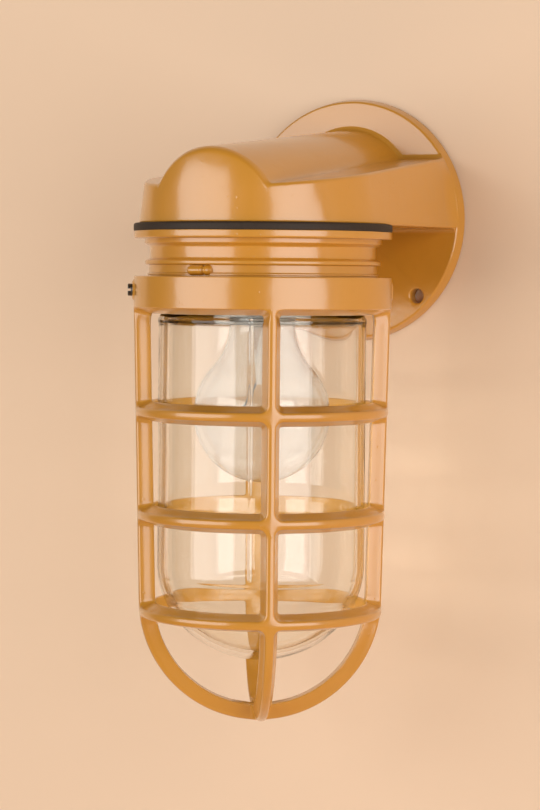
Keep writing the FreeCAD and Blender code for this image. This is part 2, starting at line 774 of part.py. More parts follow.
def hoop(label, turn):
    """One U-shaped pair of bars, drawn under the guard, with its section in the collar."""
    body = new_body(label, on_lamp_axis=False)
    body.Placement = FreeCAD.Placement(
        FreeCAD.Vector(), FreeCAD.Rotation(FreeCAD.Vector(0, 0, 1), turn))
    path = new_sketch(body, "XZ_Plane", label + "Path")
    outline(path, [
        (bar_top_across, bar_top),
        (tangent_across, tangent_up, size["guard_dome_radius"], 1),
        (zero, -size["guard_bottom_drop"], size["guard_dome_radius"], 1),
        (-tangent_across, tangent_up),
        (-bar_top_across, bar_top)], closed=False)
    section = new_sketch(body, "XY_Plane", label + "Section", bar_top)
    outline(section, [
        (bar_in, -bar_foot),
        (bar_out - size["bar_round"], -bar_half, size["bar_round"], -1),
        (bar_out, -flat),
        (bar_out, flat, size["bar_round"], -1),
        (bar_out - size["bar_round"], bar_half),
        (bar_in, bar_foot)])
    pipe = body.newObject("PartDesign::AdditivePipe", label + "Bars")
    pipe.Profile = section
    pipe.Spine = (path, [])
    return body


guard_pieces = [collar, hoop("HoopOne", 0), hoop("HoopTwo", 90)]
for name in ("one", "two", "three"):
    middle = -size["ring_%s_drop" % name]
    out = tangent_across + (middle - tangent_up) * guard_slope + size["ring_proud"]
    ring = new_body("GuardRing" + name.capitalize(), on_lamp_axis=False)
    turned(ring, "Ring" + name.capitalize(), [
        (out - size["ring_depth"], middle - bar_foot),
        (out - size["bar_round"], middle - bar_half, size["bar_round"], -1),
        (out, middle - flat),
        (out, middle + flat, size["bar_round"], -1),
        (out - size["bar_round"], middle + bar_half),
        (out - size["ring_depth"], middle + bar_foot)])
    guard_pieces.append(ring)
guard = fuse_all("guard", guard_pieces[::-1])
guard.Label = "guard"
place(guard, along=lamp_line)
bind(guard, "Placement.Rotation.Angle", size["guard_turn"])


# Slotted headless screws that hold the guard; the left one stands out, the right is driven in.
def set_screw(label, side, outer):
    screw = doc.addObject("Part::Cylinder", label + "Shank")
    bind(screw, "Radius", size["set_screw_radius"])
    tip = size["skirt_radius"] + size["set_screw_tip_gap"]
    bind(screw, "Height", outer - tip)
    slot = doc.addObject("Part::Box", label + "Slot")
    bind(slot, "Length", size["set_screw_radius"] * two * two)
    bind(slot, "Width", size["slot_width"])
    bind(slot, "Height", size["slot_depth"] + size["overrun"])
    place(slot, -size["set_screw_radius"] * two, -size["slot_width"] * half,
          outer - tip - size["slot_depth"])
    item = cut(label, screw, slot)
    item.Label = label
    heading = math.radians(size["guard_turn"].value)
    axis = FreeCAD.Vector(side * math.cos(heading), side * math.sin(heading), 0)
    item.Placement = FreeCAD.Placement(
        FreeCAD.Vector(0, lamp_line.value, -size["set_screw_drop"].value) + axis * tip.value,
        FreeCAD.Rotation(FreeCAD.Vector(0, 0, 1), axis))
    return item


boss_face = size["guard_radius"] + size["set_boss_reach"]
set_screw_left = set_screw("guard_set_screw_left", -1, boss_face + size["set_screw_stand"])
set_screw_right = set_screw("guard_set_screw_right", 1, boss_face - size["set_boss_reach"])

# Porcelain socket with its brass shell, centre contact and two terminal screws.
socket_top = size["socket_top_rise"]
socket_low = socket_top - size["socket_length"]
flange_face = socket_top - size["socket_flange_depth"]
cup_top = -size["socket_floor"]
socket = new_body("socket_body")
turned(socket, "SocketTurning", [
    (zero, socket_top),
    (size["socket_flange_radius"], socket_top),
    (size["socket_flange_radius"], flange_face),
    (size["socket_skirt_radius"], flange_face),
    (size["socket_skirt_radius"], socket_low),
    (size["shell_radius"], socket_low),
    (size["shell_radius"], cup_top),
    (zero, cup_top)])
socket_hole_sketch = new_sketch(socket, "XY_Plane", "SocketScrewHole", socket_top)
circle(socket_hole_sketch, size["socket_screw_circle_radius"], zero, size["screw_hole_radius"])
spun(socket, "SocketScrewHoles", bored(socket, "SocketScrewBore", socket_hole_sketch), 2)

socket_shell = new_body("socket_shell")
turned(socket_shell, "ShellTurning", [
    (size["shell_radius"], cup_top),
    (size["shell_radius"], cup_top - size["shell_length"]),
    (size["shell_radius"] - size["shell_thickness"], cup_top - size["shell_length"]),
    (size["shell_radius"] - size["shell_thickness"], cup_top - size["shell_thickness"]),
    (size["contact_radius"] * two, cup_top - size["shell_thickness"]),
    (size["contact_radius"] * two, cup_top)])

contact = new_body("socket_contact")
contact_low = cup_top - size["contact_thickness"]
turned(contact, "ContactTurning", [
    (zero, cup_top),
    (size["contact_radius"], cup_top),
    (size["contact_radius"], contact_low),
    (size["contact_radius"] * half, contact_low - size["contact_rise"]),
    (zero, contact_low - size["contact_rise"])])

# Bulb: the pear-shaped glass is a ball that a hollow curve joins to the neck.
ball = -size["bulb_center_drop"]
flank_center = size["bulb_neck_radius"] + size["bulb_flank_radius"]
joined = size["bulb_radius"] + size["bulb_flank_radius"]
flank_rise = (joined * joined - flank_center * flank_center).root()
touch_across = size["bulb_radius"] * flank_center / joined
touch_up = ball + size["bulb_radius"] * flank_rise / joined
thin = size["bulb_wall"]
inner_ball = size["bulb_radius"] - thin
inner_touch_across = inner_ball * flank_center / joined
inner_touch_up = ball + inner_ball * flank_rise / joined
tip_low = contact_low - size["contact_rise"] - size["base_gap"]
tip_top = tip_low - size["tip_height"]
base_top = tip_top - size["insulator_height"]
base_low = base_top - size["base_length"]
glass_top = base_low + size["base_thickness"] * two

bulb_glass = new_body("bulb_glass")
turned(bulb_glass, "BulbTurning", [
    (size["bulb_neck_radius"] - size["base_gap"], glass_top),
    (size["bulb_neck_radius"] - size["base_gap"], base_low),
    (size["bulb_neck_radius"], base_low),
    (size["bulb_neck_radius"], ball + flank_rise, size["bulb_flank_radius"], -1),
    (touch_across, touch_up, size["bulb_radius"], 1),
    (size["bulb_radius"], ball, size["bulb_radius"], 1),
    (zero, ball - size["bulb_radius"]),
    (zero, ball - inner_ball, inner_ball, -1),
    (inner_ball, ball, inner_ball, -1),
    (inner_touch_across, inner_touch_up, size["bulb_flank_radius"] + thin, 1),
    (size["bulb_neck_radius"] - thin, ball + flank_rise),
    (size["bulb_neck_radius"] - thin, glass_top)])

bulb_base = new_body("bulb_base")
base_inside = size["base_radius"] - size["base_thickness"]
turned(bulb_base, "BaseTurning", [
    (size["tip_radius"] * two, base_top),
    (size["base_radius"], base_top),
    (size["base_radius"], base_low),
    (base_inside, base_low),
    (base_inside, base_top - size["base_thickness"]),
    (size["tip_radius"] * two, base_top - size["base_thickness"])])

insulator = new_body("bulb_insulator")
turned(insulator, "InsulatorTurning", [
    (zero, tip_top),
    (size["tip_radius"], tip_top),
    (size["tip_radius"] * two, base_top),
    (size["tip_radius"] * two, base_top - size["base_thickness"]),
    (zero, base_top - size["base_thickness"])])

bulb_tip = new_body("bulb_contact")
turned(bulb_tip, "TipTurning", [
    (zero, tip_low),
    (size["tip_radius"] * half, tip_low),
    (size["tip_radius"], tip_top),
    (zero, tip_top)])

stem = new_body("bulb_stem")
stem_top = -size["stem_top_drop"]
stem_low = stem_top - size["stem_length"]
turned(stem, "StemTurning", [
    (zero, stem_top),
    (size["bulb_neck_radius"] - thin, stem_top),
    (size["bulb_neck_radius"] - thin, stem_top - thin * two),
    (size["stem_radius"], stem_top - size["stem_radius"]),
    (size["stem_radius"] * half, stem_low),
    (zero, stem_low)])


# Two wires carry the filament below the stem.
def strut(label, start, finish, radius):
    """Thin straight wire between two spots on the lamp axis frame."""
    begin = FreeCAD.Vector(start[0].value, lamp_line.value, start[1].value)
    end = FreeCAD.Vector(finish[0].value, lamp_line.value, finish[1].value)
    wire = doc.addObject("Part::Feature", label)
    wire.Label = label
    wire.Shape = Part.makeCylinder(radius.value, (end - begin).Length, begin, end - begin)
    return wire


stem_foot = stem_low + size["support_radius"] * two
support_end = ball + size["filament_radius"] + size["support_radius"]
supports = [
    strut("bulb_support_" + name,
          (signed(side, size["support_foot"] + size["support_radius"]), stem_foot),
          (signed(side, size["filament_half"] - size["support_radius"]), support_end),
          size["support_radius"])
    for name, side in (("right", 1), ("left", -1))]
filament = strut("bulb_filament", (-size["filament_half"], ball), (size["filament_half"], ball),
                 size["filament_radius"])


# Screws with slotted round heads, upright, head down.
def screw(label, across, along, head_face):
    head = rod(label + "Head", size["screw_head_radius"], size["screw_head_depth"],
               across, along, head_face - size["screw_head_depth"])
    stalk = rod(label + "Stalk", size["pilot_radius"], size["screw_grip"], across, along,
                head_face)
    slot = doc.addObject("Part::Box", label + "Slot")
    bind(slot, "Length", size["screw_head_radius"] * two)
    bind(slot, "Width", size["slot_width"])
    bind(slot, "Height", size["slot_depth"])
    place(slot, across - size["screw_head_radius"], along - size["slot_width"] * half,
          head_face - size["screw_head_depth"])
    item = cut(label, fuse_all(label + "Blank", [head, stalk]), slot)
    item.Label = label
    return item


names = ("front_right", "back_right", "front_left", "back_left")
holder_screws = []
for name, (sx, sy) in zip(names, [(1, -1), (1, 1), (-1, -1), (-1, 1)]):
    holder_screws.append(screw("holder_screw_" + name, signed(sx, holder_spot),
                               lamp_line + signed(sy, holder_spot), flange_low))
socket_screws = [
    screw("socket_screw_right", size["socket_screw_circle_radius"], lamp_line, flange_face),
    screw("socket_screw_left", -size["socket_screw_circle_radius"], lamp_line, flange_face)]

# Terminal screws on the socket, and the ground screw on its post in the arm.
def stud(label, radius, height, across, along, face, grip=None):
    """Slotted head on a face, head up, with a shank below it when a grip is given."""
    pieces = [rod(label + "Head", radius, height, across, along, face)]
    if grip is not None:
        pieces.append(rod(label + "Stalk", size["pilot_radius"], grip + height * half,
                          across, along, face - grip))
    slot = doc.addObject("Part::Box", label + "Slot")
    bind(slot, "Length", radius * two)
    bind(slot, "Width", size["slot_width"])
    bind(slot, "Height", size["slot_depth"])
    place(slot, across - radius, along - size["slot_width"] * half,
          face + height - size["slot_depth"])
    blank = pieces[0] if grip is None else fuse_all(label + "Blank", pieces)
    item = cut(label, blank, slot)
    item.Label = label
    return item


terminal_line = lamp_line + size["terminal_back"]
terminals = [
    stud("socket_terminal_" + name, size["terminal_radius"], size["terminal_height"],
         signed(side, size["terminal_spread"]), terminal_line, socket_top)
    for name, side in (("line", 1), ("neutral", -1))]
ground_screw = stud("ground_screw", size["screw_head_radius"], size["screw_head_depth"],
                    ground_spot[0], ground_spot[1], ground_seat, size["ground_grip"])


# Leads from the terminals and the ground screw, back through the arm to the wire hole.
def lead(label, corners):
    """Round wire on straight runs joined by arcs as large as their two runs allow."""
    spots = [FreeCAD.Vector(*[amount.value for amount in corner]) for corner in corners]
    reach_share = 0.45
    edges = []
    radii = []
    last = spots[0]
    for before, corner, after in zip(spots, spots[1:], spots[2:]):
        arriving = (corner - before).normalize()
        leaving = (after - corner).normalize()
        shorter = min((corner - before).Length, (after - corner).Length)
        trim = reach_share * shorter
        turn = arriving.getAngle(leaving)
        radii.append(trim / math.tan(turn / 2))
        start = corner - arriving * trim
        finish = corner + leaving * trim
        inward = (leaving - arriving).normalize()
        away = radii[-1] / math.cos(turn / 2) - radii[-1]
        edges.append(Part.LineSegment(last, start).toShape())
        edges.append(Part.Arc(start, corner + inward * away, finish).toShape())
        last = finish
    edges.append(Part.LineSegment(last, spots[-1]).toShape())
    path = Part.Wire(edges)
    ring = Part.Wire(Part.makeCircle(size["lead_radius"].value, spots[0], spots[1] - spots[0]))
    wire = doc.addObject("Part::Feature", label)
    wire.Label = label
    wire.Shape = path.makePipeShell([ring], True, False)
    straight = math.pi * size["lead_radius"].value ** 2 * path.Length
    print("%s radii %s, volume share %.4f" % (
        label, ["%.1f" % radius for radius in radii], wire.Shape.Volume / straight))
    return wire


lead_height = socket_top + size["lead_radius"] + size["lead_gap"]
lead_start = terminal_line + size["terminal_radius"] + size["lead_gap"]
lead_end = -size["lead_gap"] - size["lead_radius"]
leads = [
    lead("lead_" + name, [
        (signed(side, size["terminal_spread"]), lead_start, lead_height),
        (signed(side, size["terminal_spread"]), -size["lead_first_back"], lead_height),
        (signed(side, size["lead_hole_side"]), -size["lead_second_back"], size["wire_hole_rise"]),
        (signed(side, size["lead_hole_side"]), lead_end, size["wire_hole_rise"])])
    for name, side in (("line", 1), ("neutral", -1))]
ground_height = ground_seat + size["lead_radius"]
leads.append(lead("lead_ground", [
    (ground_spot[0] - size["screw_head_radius"] - size["lead_gap"], ground_spot[1], ground_height),
    (zero, -size["ground_first_back"], ground_height),
    (zero, -size["ground_second_back"], size["wire_hole_rise"]),
    (zero, lead_end, size["wire_hole_rise"])]))

delivered = [bracket, wall_gasket, hood_gasket, holder, globe_gasket, glass_globe, guard,
             set_screw_left, set_screw_right, socket, socket_shell, contact, bulb_glass,
             bulb_base, insulator, bulb_tip, stem, filament, ground_screw]
delivered += supports + holder_screws + socket_screws + terminals + leads

doc.recompute()
for item in doc.Objects:
    if "Invalid" in item.State or "Error" in item.State:
        raise RuntimeError("%s is %s" % (item.Label, item.State))
os.makedirs("parts", exist_ok=True)
for item in delivered:
    shape = item.Shape
    if shape.isNull() or not shape.isValid():
        raise RuntimeError("%s has no valid shape" % item.Label)
    print("%-28s solids %d volume %.1f" % (item.Label, len(shape.Solids), shape.Volume))
    shape.exportStep("parts/%s.step" % item.Label)
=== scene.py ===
import json
import math
import bmesh
import bpy
import numpy as np
from mathutils import Matrix, Vector


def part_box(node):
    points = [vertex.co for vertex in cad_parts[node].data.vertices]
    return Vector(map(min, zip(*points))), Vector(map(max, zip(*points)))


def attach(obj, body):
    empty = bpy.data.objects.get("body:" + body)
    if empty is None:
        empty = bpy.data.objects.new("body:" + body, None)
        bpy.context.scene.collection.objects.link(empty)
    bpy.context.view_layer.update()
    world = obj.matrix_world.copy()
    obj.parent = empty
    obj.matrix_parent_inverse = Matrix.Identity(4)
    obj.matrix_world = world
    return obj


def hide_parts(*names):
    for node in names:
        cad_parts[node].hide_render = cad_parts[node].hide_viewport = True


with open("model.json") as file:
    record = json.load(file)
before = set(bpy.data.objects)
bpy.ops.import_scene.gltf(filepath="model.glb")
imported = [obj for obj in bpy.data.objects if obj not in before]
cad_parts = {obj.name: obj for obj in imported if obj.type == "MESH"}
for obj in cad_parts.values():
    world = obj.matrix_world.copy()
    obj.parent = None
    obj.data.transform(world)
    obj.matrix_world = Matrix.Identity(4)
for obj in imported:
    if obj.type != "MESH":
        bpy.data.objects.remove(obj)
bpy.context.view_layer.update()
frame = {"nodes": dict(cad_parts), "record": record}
mm = 0.001                                   # everything below is in millimetres until it becomes a mesh
jarLow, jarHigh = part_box("glass_globe")
lampY = (jarLow.y + jarHigh.y) / 2 / mm      # the lamp's upright axis stands at x = 0, y = lampY
print("frame loaded:", len(frame["nodes"]), "nodes, lamp axis at y =", round(lampY, 2))


# shapes: every surface is a grid of points, rows by columns by 3
def bendCorners(corners, steps=6):
    # a line through (across, up, radius) corners, each corner swapped for its tangent arc
    corners = np.array(corners, float)
    line = [corners[:1, :2]]
    for before, corner, after in zip(corners[:-2], corners[1:-1], corners[2:]):
        if corner[2] == 0:
            line.append(corner[None, :2])
            continue
        arriving = (corner - before)[:2]
        leaving = (after - corner)[:2]
        arriving = arriving / np.linalg.norm(arriving)
        leaving = leaving / np.linalg.norm(leaving)
        turn = math.acos(np.clip(arriving @ leaving, -1, 1))
        trim = corner[2] * math.tan(turn / 2)
        start = corner[:2] - arriving * trim
        inward = leaving - arriving
        center = corner[:2] + inward / np.linalg.norm(inward) * corner[2] / math.cos(turn / 2)
        side = 1 if arriving[0] * leaving[1] - arriving[1] * leaving[0] > 0 else -1
        angle = np.linspace(0, turn * side, steps + 1)
        arm = start - center
        line.append(center + np.stack([
            arm[0] * np.cos(angle) - arm[1] * np.sin(angle),
            arm[0] * np.sin(angle) + arm[1] * np.cos(angle)], 1))
    line.append(corners[-1:, :2])
    return np.concatenate(line)


def aroundLamp(radius, height, angle):
    # spots round the lamp axis: x = r cos a, y = r sin a, z = height
    return np.stack([radius * np.cos(angle), lampY + radius * np.sin(angle), height + 0 * angle], -1)


def turned(profile, angles):
    # a profile of (radius, height) carried round the lamp axis
    return aroundLamp(profile[:, 0:1], profile[:, 1:2], angles)


def turnedOut(profile, x, z, angles):
    # a profile of (radius, distance behind the wall's plane) carried round a line square to the wall
    radius, along = profile[:, 0:1], profile[:, 1:2]
    return np.stack([x + radius * np.cos(angles), along + 0 * angles, z + radius * np.sin(angles)], -1)


def fullTurn(count):
    return np.linspace(0, 2 * math.pi, count, endpoint=False)


def closedProfile(profile):
    return np.concatenate([profile, profile[:1]])


def sealMesh(mesh):
    # merges the shared rims, caps whatever is still open and turns every face outward
    shape = bmesh.new()
    shape.from_mesh(mesh)
    bmesh.ops.remove_doubles(shape, verts=shape.verts, dist=0.002 * mm)
    bmesh.ops.dissolve_degenerate(shape, edges=shape.edges, dist=0.0005 * mm)
    bmesh.ops.holes_fill(shape, edges=[edge for edge in shape.edges if edge.is_boundary], sides=0)
    bmesh.ops.recalc_face_normals(shape, faces=shape.faces)
    shape.to_mesh(mesh)
    shape.free()


def finishMesh(name, grids, sharpAngle=40):
    # joins grids of points into one closed mesh; a grid given with False doesn't close its rows into rings
    points, faces, start = [], [], 0
    for grid in grids:
        closed = True
        if isinstance(grid, tuple):
            grid, closed = grid
        rows, columns = grid.shape[:2]
        index = start + np.arange(rows * columns).reshape(rows, columns)
        if closed:
            index = np.concatenate([index, index[:, :1]], 1)
        quads = np.stack([index[:-1, :-1], index[:-1, 1:], index[1:, 1:], index[1:, :-1]], -1)
        points.append(grid.reshape(-1, 3))
        faces.append(quads.reshape(-1, 4))
        start += rows * columns
    mesh = bpy.data.meshes.new(name)
    mesh.from_pydata(np.concatenate(points) * mm, [], np.concatenate(faces).tolist())
    sealMesh(mesh)
    mesh.shade_smooth()
    mesh.set_sharp_from_angle(angle=math.radians(sharpAngle))
    return mesh


def joinMeshes(mesh, *others):
    # puts the others' faces into the first mesh
    whole = bmesh.new()
    for part in (mesh, *others):
        whole.from_mesh(part)
    whole.to_mesh(mesh)
    whole.free()
    mesh.shade_smooth()


def placeObject(name, data):
    thing = bpy.data.objects.new(name, data)
    bpy.context.scene.collection.objects.link(thing)
    return thing


def addPiece(name, mesh, body, slotName, replaced, material=None):
    piece = placeObject(name, mesh)
    mesh.materials.clear()
    mesh.materials.append(material or finishes[slotName])
    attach(piece, body)
    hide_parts(*replaced)


def smoothStep(low, high, value):
    share = np.clip((value - low) / (high - low), 0, 1)
    return share * share * (3 - 2 * share)


def solveFalling(function, low, high, rounds=44):
    # halves the span between low and high until function, which falls from + to -, is zero
    low, high = low + 0.0, high + 0.0
    for _ in range(rounds):
        middle = (low + high) / 2
        inside = function(middle) > 0
        low = np.where(inside, middle, low)
        high = np.where(inside, high, middle)
    return (low + high) / 2


def roundedMeet(radius, *distances):
    # distance inside several walls at once, with their shared corners rounded to the radius
    short = [np.maximum(radius - distance, 0) for distance in distances]
    reach = np.sqrt(sum(part * part for part in short))
    nearest = np.minimum.reduce(distances)
    return np.where(nearest > radius, nearest, radius - reach)


# shared material parts
def addNode(tree, kind, **values):
    node = tree.nodes.new(kind)
    for key, value in values.items():
        if key.startswith("in_"):
            node.inputs[key[3:].replace("_", " ")].default_value = value
        else:
            setattr(node, key, value)
    return node


def newMaterial(name):
    material = bpy.data.materials.new(name)
    material.use_nodes = True
    tree = material.node_tree
    return material, tree, tree.nodes["Principled BSDF"]


def objectPlace(tree):
    return addNode(tree, "ShaderNodeTexCoord").outputs["Object"]


def buildCastSkin():
    # cast metal under thick paint: slow waves, orange peel and a few nibs, and a cloud for the colour
    group = bpy.data.node_groups.new("castSkin", "ShaderNodeTree")
    face = group.interface
    face.new_socket("Place", in_out="INPUT", socket_type="NodeSocketVector")
    for label in ("Wave Height", "Peel Height", "Nib Height", "Nib Amount"):
        face.new_socket(label, in_out="INPUT", socket_type="NodeSocketFloat")
    for label in ("Height", "Cloud"):
        face.new_socket(label, in_out="OUTPUT", socket_type="NodeSocketFloat")
    enter = group.nodes.new("NodeGroupInput")
    leave = group.nodes.new("NodeGroupOutput")
    wave = addNode(group, "ShaderNodeTexNoise", in_Scale=85.0, in_Detail=1.0)
    peel = addNode(group, "ShaderNodeTexNoise", in_Scale=620.0, in_Detail=1.5)
    nibs = addNode(group, "ShaderNodeTexVoronoi", in_Scale=230.0)
    cloud = addNode(group, "ShaderNodeTexNoise", in_Scale=32.0, in_Detail=3.0)
    for texture in (wave, peel, nibs, cloud):
        group.links.new(enter.outputs["Place"], texture.inputs["Vector"])
    reach = addNode(group, "ShaderNodeMapRange", in_From_Min=0.0, in_To_Min=1.0, in_To_Max=0.0)
    reach.interpolation_type = "SMOOTHSTEP"
    group.links.new(nibs.outputs["Distance"], reach.inputs["Value"])
    group.links.new(enter.outputs["Nib Amount"], reach.inputs["From Max"])
    total = None
    for source, label in ((wave.outputs["Fac"], "Wave Height"), (peel.outputs["Fac"], "Peel Height"),
                          (reach.outputs["Result"], "Nib Height")):
        part = addNode(group, "ShaderNodeMath", operation="MULTIPLY")
        group.links.new(source, part.inputs[0])
        group.links.new(enter.outputs[label], part.inputs[1])
        if total is not None:
            joined = addNode(group, "ShaderNodeMath", operation="ADD")
            group.links.new(total, joined.inputs[0])
            group.links.new(part.outputs[0], joined.inputs[1])
            part = joined
        total = part.outputs[0]
    group.links.new(total, leave.inputs["Height"])
    group.links.new(cloud.outputs["Fac"], leave.inputs["Cloud"])
    return group


castSkin = buildCastSkin()


def bumpFrom(tree, shader, height, strength, distance):
    bump = addNode(tree, "ShaderNodeBump", in_Strength=strength, in_Distance=distance)
    tree.links.new(height, bump.inputs["Height"])
    tree.links.new(bump.outputs["Normal"], shader.inputs["Normal"])
    if "Coat Normal" in shader.inputs:
        tree.links.new(bump.outputs["Normal"], shader.inputs["Coat Normal"])


def mixColour(tree, factor, first, second):
    mix = addNode(tree, "ShaderNodeMix", data_type="RGBA")
    tree.links.new(factor, mix.inputs["Factor"])
    mix.inputs["A"].default_value = (*first, 1)
    mix.inputs["B"].default_value = (*second, 1)
    return mix.outputs["Result"]


def rampBetween(tree, value, low, high, fromLow=0.0, fromHigh=1.0):
    ramp = addNode(tree, "ShaderNodeMapRange", in_From_Min=fromLow, in_From_Max=fromHigh,
                   in_To_Min=low, in_To_Max=high)
    tree.links.new(value, ramp.inputs["Value"])
    return ramp.outputs["Result"]


paintLook = {
    "colour": (0.57, 0.248, 0.022),
    "deep": (0.535, 0.225, 0.018),
    "roughness": (0.30, 0.38),
    "coatRoughness": 0.16,
    "skin": {"Wave Height": 0.00022, "Peel Height": 0.00002, "Nib Height": 0.00006, "Nib Amount": 0.16},
}


def paintMaterial(name, wave=1.0):
    material, tree, shader = newMaterial(name)
    skin = tree.nodes.new("ShaderNodeGroup")
    skin.node_tree = castSkin
    tree.links.new(objectPlace(tree), skin.inputs["Place"])
    for label, value in paintLook["skin"].items():
        skin.inputs[label].default_value = value
    skin.inputs["Wave Height"].default_value *= wave
    colour = mixColour(tree, skin.outputs["Cloud"], paintLook["deep"], paintLook["colour"])
    tree.links.new(colour, shader.inputs["Base Color"])
    tree.links.new(rampBetween(tree, skin.outputs["Cloud"], *paintLook["roughness"]),
                   shader.inputs["Roughness"])
    shader.inputs["Coat Weight"].default_value = 1.0
    shader.inputs["Coat Roughness"].default_value = paintLook["coatRoughness"]
    bumpFrom(tree, shader, skin.outputs["Height"], 1.0, 1.0)
    return material


def clearWhere(tree, shader, flag, tint):
    # lets light straight through, tinted, wherever the flag is 1
    clear = addNode(tree, "ShaderNodeBsdfTransparent")
    clear.inputs["Color"].default_value = (*tint, 1)
    mix = addNode(tree, "ShaderNodeMixShader")
    tree.links.new(flag, mix.inputs["Fac"])
    tree.links.new(shader.outputs["BSDF"], mix.inputs[1])
    tree.links.new(clear.outputs["BSDF"], mix.inputs[2])
    tree.links.new(mix.outputs["Shader"], tree.nodes["Material Output"].inputs["Surface"])


def glassMaterial(name, tint, ripple, scale, roughness=0.0, transmission=1.0):
    # glass that lets lamp light through, with the slow ripple of pressed glass
    material, tree, shader = newMaterial(name)
    shader.inputs["Base Color"].default_value = (*tint, 1)
    shader.inputs["Roughness"].default_value = roughness
    shader.inputs["IOR"].default_value = 1.44
    shader.inputs["Transmission Weight"].default_value = transmission
    noise = addNode(tree, "ShaderNodeTexNoise", in_Scale=scale, in_Detail=1.0)
    tree.links.new(objectPlace(tree), noise.inputs["Vector"])
    bumpFrom(tree, shader, noise.outputs["Fac"], 1.0, ripple)
    path = addNode(tree, "ShaderNodeLightPath")
    clearWhere(tree, shader, path.outputs["Is Shadow Ray"], [0.5 + part / 2 for part in tint])
    return material


def plainFinish(name, colours, roughness, metallic=0.0, scale=300.0, bump=0.00004, stretch=(1, 1, 1),
                coat=0.0, specular=0.5):
    # one finish whose colour, gloss and fine relief follow the same stretched noise
    material, tree, shader = newMaterial(name)
    mapping = addNode(tree, "ShaderNodeMapping")
    mapping.inputs["Scale"].default_value = stretch
    tree.links.new(objectPlace(tree), mapping.inputs["Vector"])
    noise = addNode(tree, "ShaderNodeTexNoise", in_Scale=scale, in_Detail=3.0)
    tree.links.new(mapping.outputs["Vector"], noise.inputs["Vector"])
    tree.links.new(mixColour(tree, noise.outputs["Fac"], *colours), shader.inputs["Base Color"])
    tree.links.new(rampBetween(tree, noise.outputs["Fac"], *roughness), shader.inputs["Roughness"])
    shader.inputs["Metallic"].default_value = metallic
    shader.inputs["Coat Weight"].default_value = coat
    shader.inputs["Specular IOR Level"].default_value = specular
    bumpFrom(tree, shader, noise.outputs["Fac"], 1.0, bump)
    return material


finishes = {
    "painted_casting": paintMaterial("castingPaint"),
    "black_rubber": plainFinish("blackRubber", ((0.022, 0.013, 0.008), (0.046, 0.030, 0.020)), (0.5, 0.68),
                                scale=900.0, specular=0.25),
    "foam_rubber": plainFinish("foamRubber", ((0.010, 0.010, 0.010), (0.05, 0.05, 0.05)), (0.85, 1.0),
                               scale=1400.0, bump=0.0003),
    "jar_glass": glassMaterial("jarGlass", (0.975, 0.985, 0.965), 0.00016, 38.0),
    "bulb_glass": glassMaterial("lampGlass", (0.985, 0.975, 0.96), 0.00003, 60.0, 0.07, 0.95),
    "dark_steel": plainFinish("darkSteel", ((0.05, 0.045, 0.042), (0.22, 0.20, 0.18)), (0.28, 0.5),
                              metallic=1.0, scale=500.0),
    "zinc_steel": plainFinish("zincSteel", ((0.42, 0.42, 0.40), (0.62, 0.62, 0.60)), (0.25, 0.4),
                              metallic=1.0, scale=400.0),
    "porcelain": plainFinish("porcelain", ((0.76, 0.74, 0.69), (0.82, 0.80, 0.76)), (0.10, 0.18),
                             scale=180.0, coat=0.6),
    "black_glass": plainFinish("blackGlass", ((0.01, 0.01, 0.014), (0.02, 0.02, 0.03)), (0.1, 0.2),
                               coat=0.5),
    "brass": plainFinish("brass", ((0.56, 0.37, 0.13), (0.72, 0.51, 0.22)), (0.22, 0.38), metallic=1.0,
                         scale=350.0),
    "base_aluminium": plainFinish("baseAluminium", ((0.58, 0.58, 0.57), (0.72, 0.72, 0.71)), (0.24, 0.4),
                                  metallic=1.0, scale=350.0, stretch=(1, 1, 6)),
    "tungsten": plainFinish("tungsten", ((0.16, 0.16, 0.165), (0.30, 0.30, 0.31)), (0.35, 0.5),
                            metallic=1.0, scale=900.0),
    "green_screw": plainFinish("greenScrew", ((0.02, 0.10, 0.03), (0.03, 0.16, 0.05)), (0.25, 0.4),
                               metallic=0.3, scale=500.0),
    "wire_black": plainFinish("wireBlack", ((0.012, 0.012, 0.012), (0.025, 0.025, 0.025)), (0.3, 0.45)),
    "wire_white": plainFinish("wireWhite", ((0.66, 0.66, 0.63), (0.74, 0.74, 0.71)), (0.3, 0.45)),
    "wire_green": plainFinish("wireGreen", ((0.015, 0.09, 0.025), (0.03, 0.15, 0.045)), (0.3, 0.45)),
}
guardPaint = paintMaterial("guardPaint", wave=0.7)
print("materials made:", len(bpy.data.materials))


